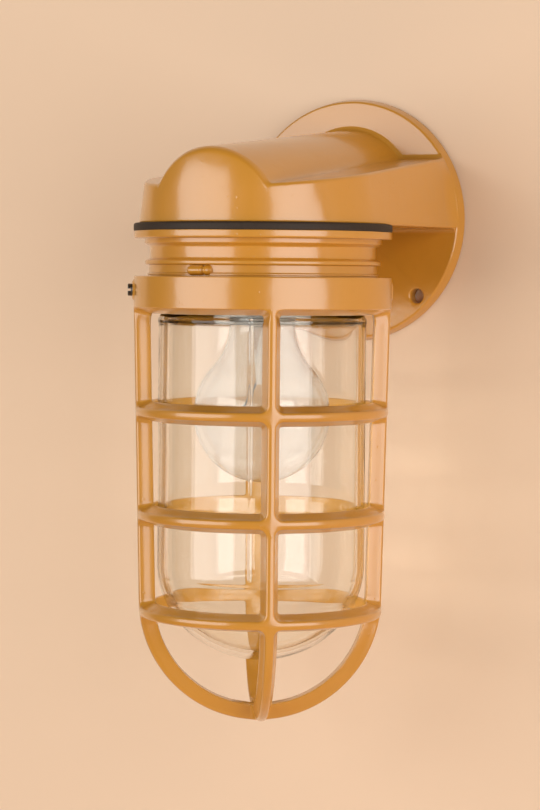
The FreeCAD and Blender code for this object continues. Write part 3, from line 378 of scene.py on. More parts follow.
# wall plate, arm and hood in one casting
bracketLook = {
    "plateRadius": 50.8,
    "plateDepth": 5.6,
    "plateRound": 1.1,
    "plateTaper": 1.2,
    "plateSteps": 256,
    "backRound": 0.5,
    "recess": (38.0, 1.6, 0.3),
    "hoodBase": -3.5,
    "hoodRadius": 48.9,
    "draft": math.radians(8.8),
    "wall": 4.2,
    "floor": (4.0, 0.02, 1.0),
    "shelf": (10.4, 26.2),
    "barrelRadius": 28.3,
    "barrel": (25.0, 38.3),
    "archRound": 2.4,
    "archEdge": (-3.0, 0.5),
    "shelfRound": 1.3,
    "leastRound": 0.6,
    "noseBarrel": 26.4,
    "noseDraft": math.radians(1.2),
    "noseEdge": (28.0, 45.0),
    "noseBlend": 20.0,
    "leanStart": (9.0, 0.008),
    "leanRadius": 60.0,
    "leanEdge": (18.0, 40.0),
    "junctionRound": 2.6,
    "plateFillet": 2.0,
    "flankReach": 8.0,
    "flankSink": 0.9,
    "flankFade": 0.6,
    "flankTurn": (0.5, 0.9),
    "flankSide": (36.0, 40.0),
    "cornerReach": 14.0,
    "underFillet": (2.5, 0.6, 0.5, 0.3),
    "skinEnd": 3.0,
    "denseRun": 14.0,
    "rimRound": 1.1,
    "endSteps": 46,
    "outlineSteps": 330,
    "wallRows": (19, 1.5),
    "bendRows": (12, 0.16, 1.25),
    "roofRows": (40, 1.15),
    "wireHole": (0.0, 13.6, 12.0, 0.4),
    "screwHoles": ((31.43, -31.43, 3.0, 0.7), (-31.43, 31.43, 3.0, 0.7)),
    "holeOver": 3.0,
}


def roofHeight(look, across, along, lower):
    # the shelf's sloping plane and the barrel's half round, whichever is higher, filleted where they meet
    front = -lampY + look["hoodRadius"]
    shelf = look["shelf"][1] + along * (look["shelf"][1] - look["shelf"][0]) / front - lower
    slope = (look["barrel"][1] - look["barrel"][0]) / front
    full = look["barrelRadius"] + (look["barrelRadius"] - look["noseBarrel"]) * along / front
    bulge = np.sqrt(np.maximum((full - lower) ** 2 - across ** 2, 0.0))
    barrel = look["barrel"][1] - full + along * slope + bulge
    gap = np.maximum(look["junctionRound"] - np.abs(shelf - barrel), 0) / look["junctionRound"]
    return np.maximum(shelf, barrel) + gap * gap * look["junctionRound"] / 4, barrel - shelf


def hoodSurface(look, inset, lower, rim):
    # rows climb the drafted wall from the base outline, round the roof's edge and cross to the middle;
    # the height at a spot is where the rounded meeting of wall and roof is zero; the nose's face stands
    # nearly upright and leans back above its start by (height - start)^2 / (2 x radius), where the start
    # sinks with the square of the distance from the middle
    radius = look["hoodRadius"] - inset
    length = -lampY
    total = 2 * length + math.pi * radius
    ends = np.linspace(look["skinEnd"], look["denseRun"], look["endSteps"])
    between = np.linspace(look["denseRun"], total - look["denseRun"], look["outlineSteps"])[1:-1]
    run = np.concatenate([ends, between, total - ends[::-1]])
    angle = np.clip((run - length) / radius, 0, math.pi)
    straight = np.maximum(length - run, np.maximum(run - length - math.pi * radius, 0))
    baseX = radius * np.cos(angle)
    baseY = lampY - radius * np.sin(angle) + straight
    startMiddle, startFall = look["leanStart"]

    def roofAt(depth):
        part = depth / radius
        across = baseX * (1 - part)
        along = baseY + (lampY + straight - baseY) * part
        height, above = roofHeight(look, across, along, lower)
        behind = smoothStep(lampY, lampY + look["noseBlend"], along)
        side = np.maximum(smoothStep(*look["noseEdge"], np.abs(across)), behind)
        tangent = math.tan(look["noseDraft"]) * (1 - side) + math.tan(look["draft"]) * side
        start = startMiddle - startFall * across ** 2
        hold = (1 - smoothStep(*look["leanEdge"], np.abs(across))) * (1 - behind)

        def leaning(level):
            return np.maximum(level - start, 0) ** 2 * hold / (2 * look["leanRadius"])
        return across, along, height, above, leaning, tangent
    # the wall meets the roof where its depth is the roof's height times the draft, found in a few rounds
    edge = np.full_like(baseX, 3.0)
    for _ in range(12):
        _, _, roof, above, leaning, tangent = roofAt(edge)
        edge = (roof - look["hoodBase"]) * tangent + leaning(roof)
    onArch = smoothStep(*look["archEdge"], above)
    bend = look["shelfRound"] + (look["archRound"] - look["shelfRound"]) * onArch
    bend = np.maximum(bend - inset, look["leastRound"])
    foot = rim * roofAt(0 * edge)[5]
    count, crowd = look["wallRows"]
    steps, lead, sweep = look["bendRows"]
    wallRows = foot + np.linspace(0, 1, count)[:, None] ** crowd * (edge - lead * bend - foot)
    turn = np.linspace(0, math.pi / 2, steps + 1)[1:, None]
    bendRows = edge - lead * bend + sweep * bend * (1 - np.cos(turn))
    count, crowd = look["roofRows"]
    share = np.linspace(0, 1, count + 1)[1:, None] ** crowd
    depth = np.concatenate([wallRows, bendRows, bendRows[-1] + share * (radius - bendRows[-1])])
    across, along, roof, _, leaning, tangent = roofAt(depth)

    def inside(height):
        fromWall = depth - (height - look["hoodBase"]) * tangent - leaning(height)
        return roundedMeet(bend, fromWall * math.cos(look["draft"]), roof - height)
    height = solveFalling(inside, np.full_like(depth, look["hoodBase"] - 1.0), roof + 1.0)
    height[0] = look["hoodBase"] + rim
    return np.stack([across, along, height], -1)


def flareToPlate(look, surface):
    # near the plate the roof moves out by a quarter circle's rise, the flanks follow a parabola that
    # reaches the plate's rim a little below its face, and the upper corners, wider than the plate at
    # their height, draw in to that rim
    radius, reach, sunk = look["plateFillet"], look["flankReach"], look["flankSink"]
    surface = surface.copy()
    fromPlate = -look["plateDepth"] - surface[..., 1]
    rise = radius - np.sqrt(radius ** 2 - (radius - np.clip(fromPlate, 0, radius)) ** 2)
    stepX = np.gradient(surface[..., 0], axis=0)
    stepZ = np.gradient(surface[..., 2], axis=0)
    size = np.maximum(np.hypot(stepX, stepZ), 1e-9)
    inward = stepZ * surface[..., 0] < stepX * (surface[..., 2] - look["hoodBase"])
    size = np.where(inward, -size, size)
    outX, outZ = stepZ / size, -stepX / size
    flank = smoothStep(*look["flankTurn"], np.abs(outX))
    flank = flank * smoothStep(*look["flankSide"], np.abs(surface[..., 0]))
    rim = look["plateRadius"] - look["plateTaper"] * (look["plateDepth"] - sunk) / look["plateDepth"]

    def toRim():
        return np.sqrt(np.maximum(rim ** 2 - surface[..., 2] ** 2, 0)) - np.abs(surface[..., 0])

    def pull(span):
        return np.clip((span - fromPlate) / (span + sunk), 0, 1) ** 2
    spread = np.maximum(toRim(), 0) * pull(reach) * smoothStep(-sunk - look["flankFade"], -sunk, fromPlate)
    surface[..., 0] += outX * (rise * (1 - flank) + spread * flank)
    surface[..., 2] += outZ * rise * (1 - flank)
    corner = (surface[..., 2] > 0) & (np.abs(surface[..., 0]) > look["flankSide"][0])
    excess = np.minimum(toRim(), 0) * pull(look["cornerReach"]) * corner
    surface[..., 0] += np.sign(surface[..., 0]) * excess
    surface[-1, :, 0] = 0
    return surface


def plateMesh(look):
    radius, depth = look["plateRadius"], look["plateDepth"]
    recess, sunk, bend = look["recess"]
    profile = bendCorners([
        (0, -sunk, 0), (recess, -sunk, bend), (recess, 0, bend), (radius, 0, look["backRound"]),
        (radius - look["plateTaper"], -depth, look["plateRound"]), (0, -depth, 0)])
    return finishMesh("plate", [turnedOut(profile, 0, 0, fullTurn(look["plateSteps"]))])


def holeCutter(name, look, x, z, radius, flare):
    # a bar through the plate whose front end opens out by a quarter circle, which rounds the hole's edge
    depth, over = look["plateDepth"], look["holeOver"]
    angle = np.linspace(0, math.pi / 2, 7)
    front = np.stack([radius + flare * (1 - np.sin(angle)), -depth + flare * (1 - np.cos(angle))], 1)
    profile = np.concatenate([
        [[0, -depth - over], [radius + flare, -depth - over], [radius + flare, -depth - 0.001]], front,
        [[radius, over], [0, over]]])
    return placeObject(name, finishMesh(name, [turnedOut(profile, x, z, fullTurn(48))]))


def cutHoles(mesh, cutters):
    holder = placeObject("plateBlank", mesh)
    for cutter in cutters:
        change = holder.modifiers.new("hole", "BOOLEAN")
        change.operation = "DIFFERENCE"
        change.solver = "EXACT"
        change.object = cutter
    bpy.context.view_layer.update()
    evaluated = holder.evaluated_get(bpy.context.evaluated_depsgraph_get())
    result = bpy.data.meshes.new_from_object(evaluated)
    for item in [holder, *cutters]:
        bpy.data.objects.remove(item)
    sealMesh(result)
    return result


def rimToRim(look, outer, inner):
    # the casting's lower face: a small round under the outer rim, then flat to the inner rim
    turn = np.linspace(0, math.pi / 2, 6)[:, None, None]
    away = (outer[0] - inner[0]) * np.array([1, 1, 0])
    away = away / np.linalg.norm(away, axis=1, keepdims=True)
    radius = look["rimRound"]
    rows = outer[0] - away * radius * (1 - np.cos(turn))
    rows[..., 2] -= radius * np.sin(turn[..., 0])
    return np.concatenate([rows, inner[:1]])


def underFillet(look):
    # a hollow quarter circle along the corner between the arm's underside and the plate, buried a little
    # in both and drawn to a point at either end
    face, base = -look["plateDepth"], look["hoodBase"]
    radius, behind, above, short = look["underFillet"]
    turn = np.linspace(0, math.pi / 2, 9)
    line = closedProfile(np.concatenate([
        [[behind, above], [-radius, above]],
        np.stack([radius * np.sin(turn) - radius, radius * np.cos(turn) - radius], 1),
        [[behind, -radius]]]))
    half = look["hoodRadius"] - short
    across = np.array([[-half], [-half], [half], [half]])
    size = np.array([[0], [1], [1], [0]])
    y = face + line[:, 0] * size
    z = base + line[:, 1] * size
    return finishMesh("underFillet", [(np.stack([across + 0 * y, y, z], -1), False)])


def armFloor(look):
    # between the well's rear half circle and the plate; its lower face stays a hair above the walls' own
    thick, hair, buried = look["floor"]
    angle = np.linspace(0, math.pi, 61)
    well = look["hoodRadius"] - look["wall"]
    wellX, wellY = well * np.cos(angle), lampY + well * np.sin(angle)
    plateX = (look["hoodRadius"] - look["wall"] / 2) * np.cos(angle)
    part = np.linspace(0, 1, 9)[:, None]
    x = wellX + (plateX - wellX) * part
    y = wellY + (buried - look["plateDepth"] - wellY) * part
    upper = np.stack([x, y, np.full_like(x, look["hoodBase"] + thick)], -1)
    under = np.stack([x, y, np.full_like(x, look["hoodBase"] + hair)], -1)
    return finishMesh("floor", [(np.concatenate([upper, under[::-1], upper[:1]]), False)])


def makeBracket(look):
    outer = flareToPlate(look, hoodSurface(look, 0.0, 0.0, look["rimRound"]))
    inner = hoodSurface(look, look["wall"], look["wall"], 0.0)
    skin = finishMesh("skin", [(grid, False) for grid in (outer, rimToRim(look, outer, inner), inner)])
    floor = armFloor(look)
    fillet = underFillet(look)
    cutters = [holeCutter("hole", look, *spot) for spot in (look["wireHole"], *look["screwHoles"])]
    plate = cutHoles(plateMesh(look), cutters)
    mesh = bpy.data.meshes.new("castBracket")
    joinMeshes(mesh, skin, floor, fillet, plate)
    mesh.set_sharp_from_angle(angle=math.radians(35))
    return mesh


addPiece("castBracket", makeBracket(bracketLook), "fixture", "painted_casting", ["bracket"])
print("bracket made")


# ribbed globe holder, its two lugs and the rubber ring above it
holderLook = {
    "profile": [
        (28.0, -6.0, 0), (50.8, -6.0, 0.5), (50.8, -9.15, 0.7), (46.6, -9.15, 0.3), (46.6, -11.05, 0.4),
        (44.4, -12.25, 0.8), (44.4, -16.9, 0.5), (46.5, -17.8, 0.7), (46.5, -19.4, 0.6), (44.9, -19.4, 0.3),
        (44.9, -22.65, 0.3), (45.5, -22.65, 0.25), (45.5, -23.6, 0.25), (45.4, -23.6, 0),
        (45.4, -34.0, 0.4), (41.4, -34.0, 0.4), (41.4, -9.15, 0), (28.0, -9.15, 0.4), (28.0, -6.0, 0)],
    "steps": 240,
    "lugSide": -3.2,
    "lugLength": 10.6,
    "lugHigh": -19.35,
    "lugRadius": 2.2,
    "lugReach": 48.2,
    "lugSeat": 44.0,
    "lugGroove": (1.0, 0.45, 0.55),
}


def makeLug(look, heading):
    # a bar across the band with round ends and a groove near one end: width, height and reach all
    # shrink toward the ends by a circle's law
    around = np.linspace(-math.pi / 2, math.pi / 2, 25)
    half, radius = look["lugLength"] / 2, look["lugRadius"]
    flat = half - radius
    side = np.linspace(-1, 1, 45)[:, None] * half
    girth = np.sqrt(np.maximum(radius ** 2 - np.maximum(np.abs(side) - flat, 0) ** 2, 0))
    back, deep, width = look["lugGroove"]
    girth = np.maximum(girth - deep * np.exp(-((side - flat + back) / width) ** 2), 0)
    depth = look["lugSeat"] + (look["lugReach"] - look["lugSeat"]) * np.cos(around) * girth / radius
    height = look["lugHigh"] - radius + girth * np.sin(around)
    x = heading * (look["lugSide"] + side + 0 * around)
    return np.stack([x, lampY - heading * depth, height], -1)


def makeHolder(look):
    grids = [turned(bendCorners(look["profile"], 4), fullTurn(look["steps"]))]
    for heading in (1, -1):
        lug = makeLug(look, heading)
        back = lug.copy()
        back[..., 1] = lampY - heading * look["lugSeat"]
        grids += [(lug, False), (back, False)]
    return finishMesh("ribbedHolder", grids)


addPiece("ribbedHolder", makeHolder(holderLook), "fixture", "painted_casting", ["globe_holder"])


# the rubber ring's outer edge bulges, and sways by a share of its radius at a few beats a turn
gasketLook = {
    "profile": [
        (29.0, -6.0, 0), (50.4, -6.0, 0.1), (50.6, -6.3, 0.2), (51.0, -6.2, 0.5), (51.0, -3.3, 0.9),
        (49.3, -3.05, 0.4), (48.9, -3.5, 0.2), (29.0, -3.5, 0), (29.0, -6.0, 0)],
    "steps": 300,
    "sway": ((5, 1.0, 0.0022), (13, 0.0, 0.0014)),
    "swayEdge": (40.0, 50.0),
}


def makeGasket(look):
    turn = fullTurn(look["steps"])
    grid = turned(bendCorners(look["profile"], 4), turn)
    sway = sum(share * np.sin(beats * turn + start) for beats, start, share in look["sway"])
    outward = grid - np.array([0, lampY, 0])
    outward[..., 2] = 0
    edge = smoothStep(*look["swayEdge"], np.hypot(outward[..., 0], outward[..., 1]))
    return finishMesh("hoodRubberRing", [grid + outward * (sway * edge)[..., None]])


addPiece("hoodRubberRing", makeGasket(gasketLook), "fixture", "black_rubber", ["hood_gasket"])
print("holder and gasket made")


# cage guard: collar, bars, rings and bottom as one cast net of windows
guardLook = {
    "turn": math.radians(32.3),
    "topRadius": 50.8,
    "topHeight": -36.85,
    "domeRadius": 48.3,
    "domeHeight": -151.6,
    "collarLow": -36.0,
    "rings": (-77.0, -117.8, -156.3),
    "half": 1.8,
    "depth": 6.4,
    "edgeRound": 1.15,
    "crown": 0.12,
    "crownEdge": (0.25, 0.7),
    "innerGain": 2.0,
    "barSide": ((0.31, 0.42), (0.60, 0.62), (0.95, 0.84)),
    "barBack": ((1.03, 0.45), (0.93, 0.12), (0.68, 0.0)),
    "corner": 3.0,
    "ledgeRadius": 43.8,
    "bevelDrop": 2.7,
    "bevelFade": (5.0, 0.4),
    "bevel": (
        (-2.68, 0.0), (-2.64, 0.02), (-2.56, 0.10), (-2.40, 0.32), (-2.16, 0.85), (-1.728, 1.7),
        (-1.296, 2.7), (-0.891, 3.7), (-0.513, 4.6), (-0.216, 5.4), (-0.02, 5.95), (0.02, 6.35),
        (-0.08, 6.7), (-0.35, 7.0)),
    "sideSteps": 52,
    "upSteps": 34,
    "collar": [(43.8, -34.3), (45.9, -34.3), (45.9, -23.9), (50.8, -23.9)],
    "collarRound": 0.5,
    "bossDrop": -29.4,
    "boss": [
        (0.0, -5.0, 0), (2.6, -5.0, 0), (2.6, 0.75, 0.25), (3.3, 0.65, 0.5), (4.6, -0.1, 1.2),
        (5.4, -0.5, 0), (5.4, -3.0, 0), (0.0, -3.0, 0)],
}
# lean of the guard's side from upright
guardTilt = math.atan((guardLook["topRadius"] - guardLook["domeRadius"])
                      / (guardLook["topHeight"] - guardLook["domeHeight"]))


def guardPlace(look, heading, run, depth):
    # a spot on the net: heading round the axis, run along the side line (up from the dome's start, and
    # negative on the ball below it), depth inward along the surface's own normal
    lean = guardTilt + np.maximum(-run, 0) / look["domeRadius"]
    rise = np.maximum(run, 0)
    radius = (look["domeRadius"] - depth) * np.cos(lean) + rise * math.sin(guardTilt)
    height = look["domeHeight"] - (look["domeRadius"] - depth) * np.sin(lean) + rise * math.cos(guardTilt)
    return radius, height, heading


def runAt(look, height):
    # run of a height on the side line or on the ball
    start = look["domeHeight"] - look["domeRadius"] * math.sin(guardTilt)
    if height >= start:
        return (height - start) / math.cos(guardTilt)
    lean = math.asin((look["domeHeight"] - height) / look["domeRadius"])
    return -(lean - guardTilt) * look["domeRadius"]


def spread(count):
    # shares from 0 to 1, closer together near both ends
    even = np.linspace(0, 1, count + 1)[:-1]
    return 0.5 * even + 0.25 * (1 - np.cos(even * math.pi))


def windowCell(look, low, high, lowHalf, highHalf, topCell):
    # rows run from the cell's rim over the edge, down the window's wall and back along the inner face;
    # every row is the line where the rounded window distance has that row's value; below the collar the
    # bar's profile of (distance, depth) turns into the collar's bevel
    quarter = math.pi / 2
    side, up = spread(look["sideSteps"]), spread(look["upSteps"])
    rimHeading = np.concatenate([side, np.ones_like(up), 1 - side, np.zeros_like(up)]) * quarter
    rimRun = np.concatenate([np.zeros_like(side), up, np.ones_like(side), 1 - up]) * (high - low) + low
    middleRun = (low + high) / 2

    def spotAt(share):
        heading = quarter / 2 + (rimHeading - quarter / 2) * share
        return heading, middleRun + (rimRun - middleRun) * share

    def distance(share):
        heading, run = spotAt(share)
        radius, _, _ = guardPlace(look, heading, run, 0.0)
        sides = radius * np.sin(heading) - look["half"], radius * np.cos(heading) - look["half"]
        return roundedMeet(look["corner"], *sides, run - low - lowHalf, high - run - highHalf)
    edge, gain, depth, crown = look["edgeRound"], look["innerGain"], look["depth"], look["crown"]
    before, share = look["crownEdge"]
    bar = [(-edge - before, crown * share)]
    bar += [(-edge * (1 - math.sin(turn)), crown + edge * (1 - math.cos(turn)))
            for turn in np.linspace(0, quarter, 7)]
    bar += [(out * gain, down * depth) for out, down in look["barSide"]]
    bar += [(out * gain, depth - left) for out, left in look["barBack"]]
    fade = [high - part for part in look["bevelFade"]]
    weight = smoothStep(*fade, rimRun) if topCell else np.zeros_like(rimRun)
    rows = [(np.ones_like(rimRun), np.zeros_like(rimRun))]
    for (barLevel, barDepth), (bevelLevel, bevelDepth) in zip(bar, look["bevel"]):
        level = barLevel + (bevelLevel - barLevel) * weight
        share = solveFalling(lambda part: distance(part) - level, np.full_like(rimRun, 0.02),
                             np.ones_like(rimRun))
        rows.append((share, barDepth + (bevelDepth - barDepth) * weight))
    rows.append((np.ones_like(rimRun), depth + (look["bevel"][-1][1] - depth) * weight))
    share, deep = np.array(rows).swapaxes(0, 1)
    return guardPlace(look, *spotAt(share), deep)


def headingGrid(look, radius, height, heading, quarter):
    return aroundLamp(radius, height, heading + look["turn"] + quarter * math.pi / 2)


def makeGuard(look):
    pole = (guardTilt - math.pi / 2) * look["domeRadius"]
    stops = [runAt(look, height) for height in (look["collarLow"], *look["rings"])]
    half = look["half"]
    # the lowest cell has no lower side: its two bars meet at the pole
    cells = [
        windowCell(look, stops[1], stops[0], half, look["bevelDrop"], True),
        windowCell(look, stops[2], stops[1], half, half, False),
        windowCell(look, stops[3], stops[2], half, half, False),
        windowCell(look, pole, stops[3], -look["corner"] * 4, half, False)]
    grids = [headingGrid(look, *cell, quarter) for quarter in range(4) for cell in cells]
    side = np.concatenate([spread(look["sideSteps"]) + quarter for quarter in range(4)]) * math.pi / 2
    top = np.array([stops[0]])
    topRadius, topHeight, _ = guardPlace(look, 0.0, top, 0.0)
    inRadius, inHeight, _ = guardPlace(look, 0.0, top, look["topRadius"] - look["ledgeRadius"])
    collar = [(*spot, look["collarRound"]) for spot in look["collar"]]
    profile = bendCorners([(inRadius[0], inHeight[0], 0), *collar, (topRadius[0], topHeight[0], 0)], 5)
    grids.append(headingGrid(look, profile[:, 0:1], profile[:, 1:2], side, 0))
    grids += [makeBoss(look, way) for way in (1, -1)]
    return finishMesh("cageGuard", grids)


def outFromCollar(reach, tangent, drop, way):
    # reach along the screws' axis and tangent across it, on one of the collar's two sides
    cosine, sine = math.cos(guardLook["turn"]) * way, math.sin(guardLook["turn"]) * way
    x = reach * cosine - tangent * sine
    y = lampY + reach * sine + tangent * cosine
    return np.stack([x, y, guardLook["bossDrop"] + drop], -1)


def makeBoss(look, way):
    # a low round swelling on the collar with the set screw's hole in it, drawn outward from the collar
    profile = bendCorners(look["boss"], 4)
    turn = fullTurn(40)
    across, out = profile[:, 0:1], profile[:, 1:2]
    tangent = across * np.cos(turn)
    reach = np.sqrt(look["topRadius"] ** 2 - tangent ** 2) + out
    return outFromCollar(reach, tangent, across * np.sin(turn), way)


addPiece("cageGuard", makeGuard(guardLook), "guard", "painted_casting", ["guard"], guardPaint)
print("guard made")


# slotted set screws in the collar
setScrewLook = {
    "radius": 2.55,
    "pitch": 0.7,
    "threadDepth": 0.28,
    "inner": 45.75,
    "outer": {"left": 53.2, "right": 51.0},
    "threadEnd": 0.35,
    "cap": ((0.12, 0.2), (0.4, 0.0)),
    "steps": (70, 36),
    "slotWidth": 0.9,
    "slotDepth": (1.2, 2.0),
    "slotLength": 8.0,
}


def makeSetScrew(look, name, way, outer):
    # threaded rod: the radius falls along the rod by a triangle wave that also moves with the turn
    count, around = look["steps"]
    rows = np.linspace(look["inner"], outer - look["threadEnd"], count)[:, None]
    turn = fullTurn(around)
    phase = (rows / look["pitch"] + turn / (2 * math.pi)) % 1.0
    thread = look["radius"] - look["threadDepth"] * np.abs(2 * phase - 1)
    cap = np.array([(look["radius"] - lost, outer - back) for lost, back in look["cap"]] + [(0, outer)])
    radius = np.concatenate([0 * thread[:1], thread, cap[:, 0:1] + 0 * turn])
    along = np.concatenate([rows[:1], rows, cap[:, 1:2]]) + 0 * turn
    grid = outFromCollar(along, radius * np.cos(turn), radius * np.sin(turn), way)
    rod = finishMesh(name, [grid], sharpAngle=30)
    # the slot is cut by a thin bar lying level across the end
    half, width = look["slotLength"] / 2, look["slotWidth"] / 2
    sideways, high = half * np.array([-1, 1, 1, -1]), width * np.array([-1, -1, 1, 1])
    sunk, over = look["slotDepth"]
    deep = np.array([[outer - sunk], [outer + over]])
    corners = outFromCollar(deep + 0 * high, sideways + 0 * deep, high + 0 * deep, way)
    ends = [(np.stack([end[[0, 1]], end[[3, 2]]]), False) for end in corners]
    slot = name + "Slot"
    mesh = cutHoles(rod, [placeObject(slot, finishMesh(slot, [corners, *ends]))])
    mesh.shade_smooth()
    mesh.set_sharp_from_angle(angle=math.radians(30))
    return mesh


for side, way in (("left", -1), ("right", 1)):
    screwName = "setScrew" + side.capitalize()
    screwMesh = makeSetScrew(setScrewLook, screwName, way, setScrewLook["outer"][side])
    addPiece(screwName, screwMesh, "guard", "dark_steel", ["guard_set_screw_" + side])
print("set screws made")


# glass jar with its plain neck, bead and mould lines, and the rubber ring on its rim
jarLook = {
    "radius": 41.0,
    "wall": 3.4,
    "outer": (-137.5, -175.5, 36.0),
    "inner": (-137.5, -172.1, 32.6),
    "side": ((-12.6, -34.0, 8), (-34.0, -46.0, 60), (-46.0, -137.5, 15)),
    "rim": ((1.4, -12.55), (1.0, -12.15)),
    "seams": ((-142.5, 0.05, 0.5), (-151.0, 0.05, 0.6)),
    "bead": (-40.6, 0.5, 1.6),
    "neck": ((-42.0, -38.4), (-24.0, -18.0)),
    "neckSteps": (1.0, 2.2),
    "mouldLine": (math.radians(-68.2), 0.16, 0.55),
    "mouldWander": ((0.5, 0.9, 0.0), (0.35, 2.3, 1.0)),
    "mouldTop": (-38.0, -42.0),
    "mouldFine": (0.06, 21),
    "steps": 256,
    "ring": [(39.2, -9.15, 0), (41.0, -9.15, 0.4), (41.0, -11.12, 0.4), (37.3, -11.12, 0.4),
             (37.3, -9.15, 0.4), (39.2, -9.15, 0)],
    "ringSteps": 200,
}


def jarEnd(radius, start, bottom, shoulder):
    # a shoulder arc that leaves the straight side, then a ball that meets it and closes at the bottom
    offset, height = radius - shoulder, start - bottom
    ball = (height ** 2 + offset ** 2 - shoulder ** 2) / (2 * (height - shoulder))
    meet = math.atan2(ball - height, offset)
    turn = np.linspace(0, meet, 60)
    side = np.stack([offset + shoulder * np.cos(turn), start - shoulder * np.sin(turn)], 1)
    turn = np.linspace(meet, math.pi / 2, 30)[1:]
    return np.concatenate([side, np.stack([ball * np.cos(turn), bottom + ball - ball * np.sin(turn)], 1)])


def makeJar(look):
    outRadius, inRadius = look["radius"], look["radius"] - look["wall"]
    outer = jarEnd(outRadius, *look["outer"])
    inner = jarEnd(inRadius, *look["inner"])[::-1]
    for seam, rise, width in look["seams"]:
        inner[:, 0] -= rise * np.exp(-((inner[:, 1] - seam) / width) ** 2)
    heights = np.concatenate([np.linspace(*stretch, endpoint=False) for stretch in look["side"]])
    level, rise, width = look["bead"]
    bead = rise * np.exp(-((heights - level) / width) ** 2)
    (neckLow, neckFoot), (neckHead, neckTop) = look["neck"]
    neck = smoothStep(neckLow, neckFoot, heights) * (1 - smoothStep(neckHead, neckTop, heights))
    outStep, inStep = look["neckSteps"]
    side = np.stack([outRadius + bead - outStep * neck, heights], 1)
    sideIn = np.stack([inRadius - inStep * neck, heights], 1)[::-1]
    turn = np.linspace(0, math.pi / 2, 6)
    (outRound, outLevel), (inRound, inLevel) = look["rim"]
    rimOut = np.stack([outRadius - outRound * (1 - np.sin(turn)), outLevel + outRound * np.cos(turn)], 1)
    rimIn = np.stack([inRadius + inRound * (1 - np.cos(turn)), inLevel + inRound * np.sin(turn)], 1)
    profile = closedProfile(np.concatenate([rimOut[:-1], side, outer, inner, sideIn, rimIn]))
    heading, rise, width = look["mouldLine"]
    reach, count = look["mouldFine"]
    fine = np.linspace(-reach, reach, count)
    joints = [(heading + part) % (2 * math.pi) + fine for part in (0, math.pi)]
    angles = np.unique(np.concatenate([fullTurn(look["steps"]), *joints]))
    grid = turned(profile, angles)
    # the mould's two joints: a ridge down each side whose height wanders along the jar
    away = ((angles - heading + math.pi / 2) % math.pi - math.pi / 2) * outRadius / width
    height = profile[:, 1:2]
    wander = 1 + sum(share * np.sin(height * pace + begin) for share, pace, begin in look["mouldWander"])
    onSide = (profile[:, 0:1] > outRadius - 0.1) * smoothStep(*look["mouldTop"], height)
    ridge = rise * wander * np.exp(-away ** 2) * onSide
    grid[..., 0] += ridge * np.cos(angles)
    grid[..., 1] += ridge * np.sin(angles)
    return finishMesh("glassJar", [grid], sharpAngle=60)


def makeJarRing(look):
    return finishMesh("jarRubberRing", [turned(bendCorners(look["ring"], 4), fullTurn(look["ringSteps"]))])


addPiece("glassJar", makeJar(jarLook), "globe", "jar_glass", ["glass_globe"])
addPiece("jarRubberRing", makeJarRing(jarLook), "globe_seal", "black_rubber", ["globe_gasket"])
print("jar made")


# bulb glass, its threaded base and the socket's threaded shell; the lip is given from the base's foot and
# the cap from its top
bulbLook = {
    "ball": (27.0, -78.1),
    "neck": 13.0,
    "flank": 25.0,
    "wall": 0.7,
    "lip": ((12.95, -0.3), (12.65, 0.8), (12.3, 0.8)),
    "steps": 160,
    "base": (13.28, 0.35, 0.9),
    "baseShort": 0.6,
    "cap": ((8.8, -0.4, 0), (8.8, 0, 0), (13.2, 0, 0.6), (13.2, -1.2, 0), (12.8, -1.2, 0),
            (12.8, -0.4, 0), (8.8, -0.4, 0)),
    "shell": (14.18, 0.3, 0.35),
    "pitch": 3.63,
    "threadSteps": (90, 96),
    "threadFade": (2.0, 2.5, 0.8),
}


def bulbProfile(look, thin):
    # ball, then a hollow flank arc tangent to it and to the neck
    radius, flank = look["ball"][0] - thin, look["flank"] + thin
    center = look["ball"][1]
    reach = look["neck"] - thin + flank
    rise = math.sqrt((radius + flank) ** 2 - reach ** 2)
    meet = math.atan2(rise, reach)
    turn = np.linspace(-math.pi / 2, meet, 56)
    ball = np.stack([radius * np.cos(turn), center + radius * np.sin(turn)], 1)
    turn = np.linspace(math.pi + meet, math.pi, 20)[1:]
    side = np.stack([reach + flank * np.cos(turn), center + rise + flank * np.sin(turn)], 1)
    return np.concatenate([ball, side])


def makeBulb(look, foot):
    outer, inner = bulbProfile(look, 0.0), bulbProfile(look, look["wall"])
    lip = np.array(look["lip"]) + [0, foot]
    whole = np.concatenate([outer, lip, inner[::-1]])
    return finishMesh("bulbGlass", [turned(whole, fullTurn(look["steps"]))], sharpAngle=60)


def threadedSleeve(look, name, low, high, radius, thickness, depth):
    # the radius follows a cosine along the height that moves on by one pitch each turn, fading at both ends
    count, around = look["threadSteps"]
    foot, neck, top = look["threadFade"]
    height = np.linspace(high, low, count)[:, None]
    turn = fullTurn(around)
    fade = smoothStep(low, low + foot, height) * (1 - smoothStep(high - neck, high - top, height))
    wave = depth * (0.5 - 0.5 * np.cos(2 * math.pi * height / look["pitch"] + turn))
    outer = radius - wave * fade
    rows = np.concatenate([outer, outer[::-1] - thickness, outer[:1]])
    levels = np.concatenate([height, height[::-1], height[:1]])
    return finishMesh(name, [aroundLamp(rows, levels, turn)], sharpAngle=50)


def makeBulbBase(look, low, high):
    base = threadedSleeve(look, "bulbBase", low, high - look["baseShort"], *look["base"])
    profile = bendCorners(np.array(look["cap"]) + [0, high, 0], 4)
    cap = finishMesh("bulbBaseCap", [turned(profile, fullTurn(look["threadSteps"][1]))])
    joinMeshes(base, cap)
    return base


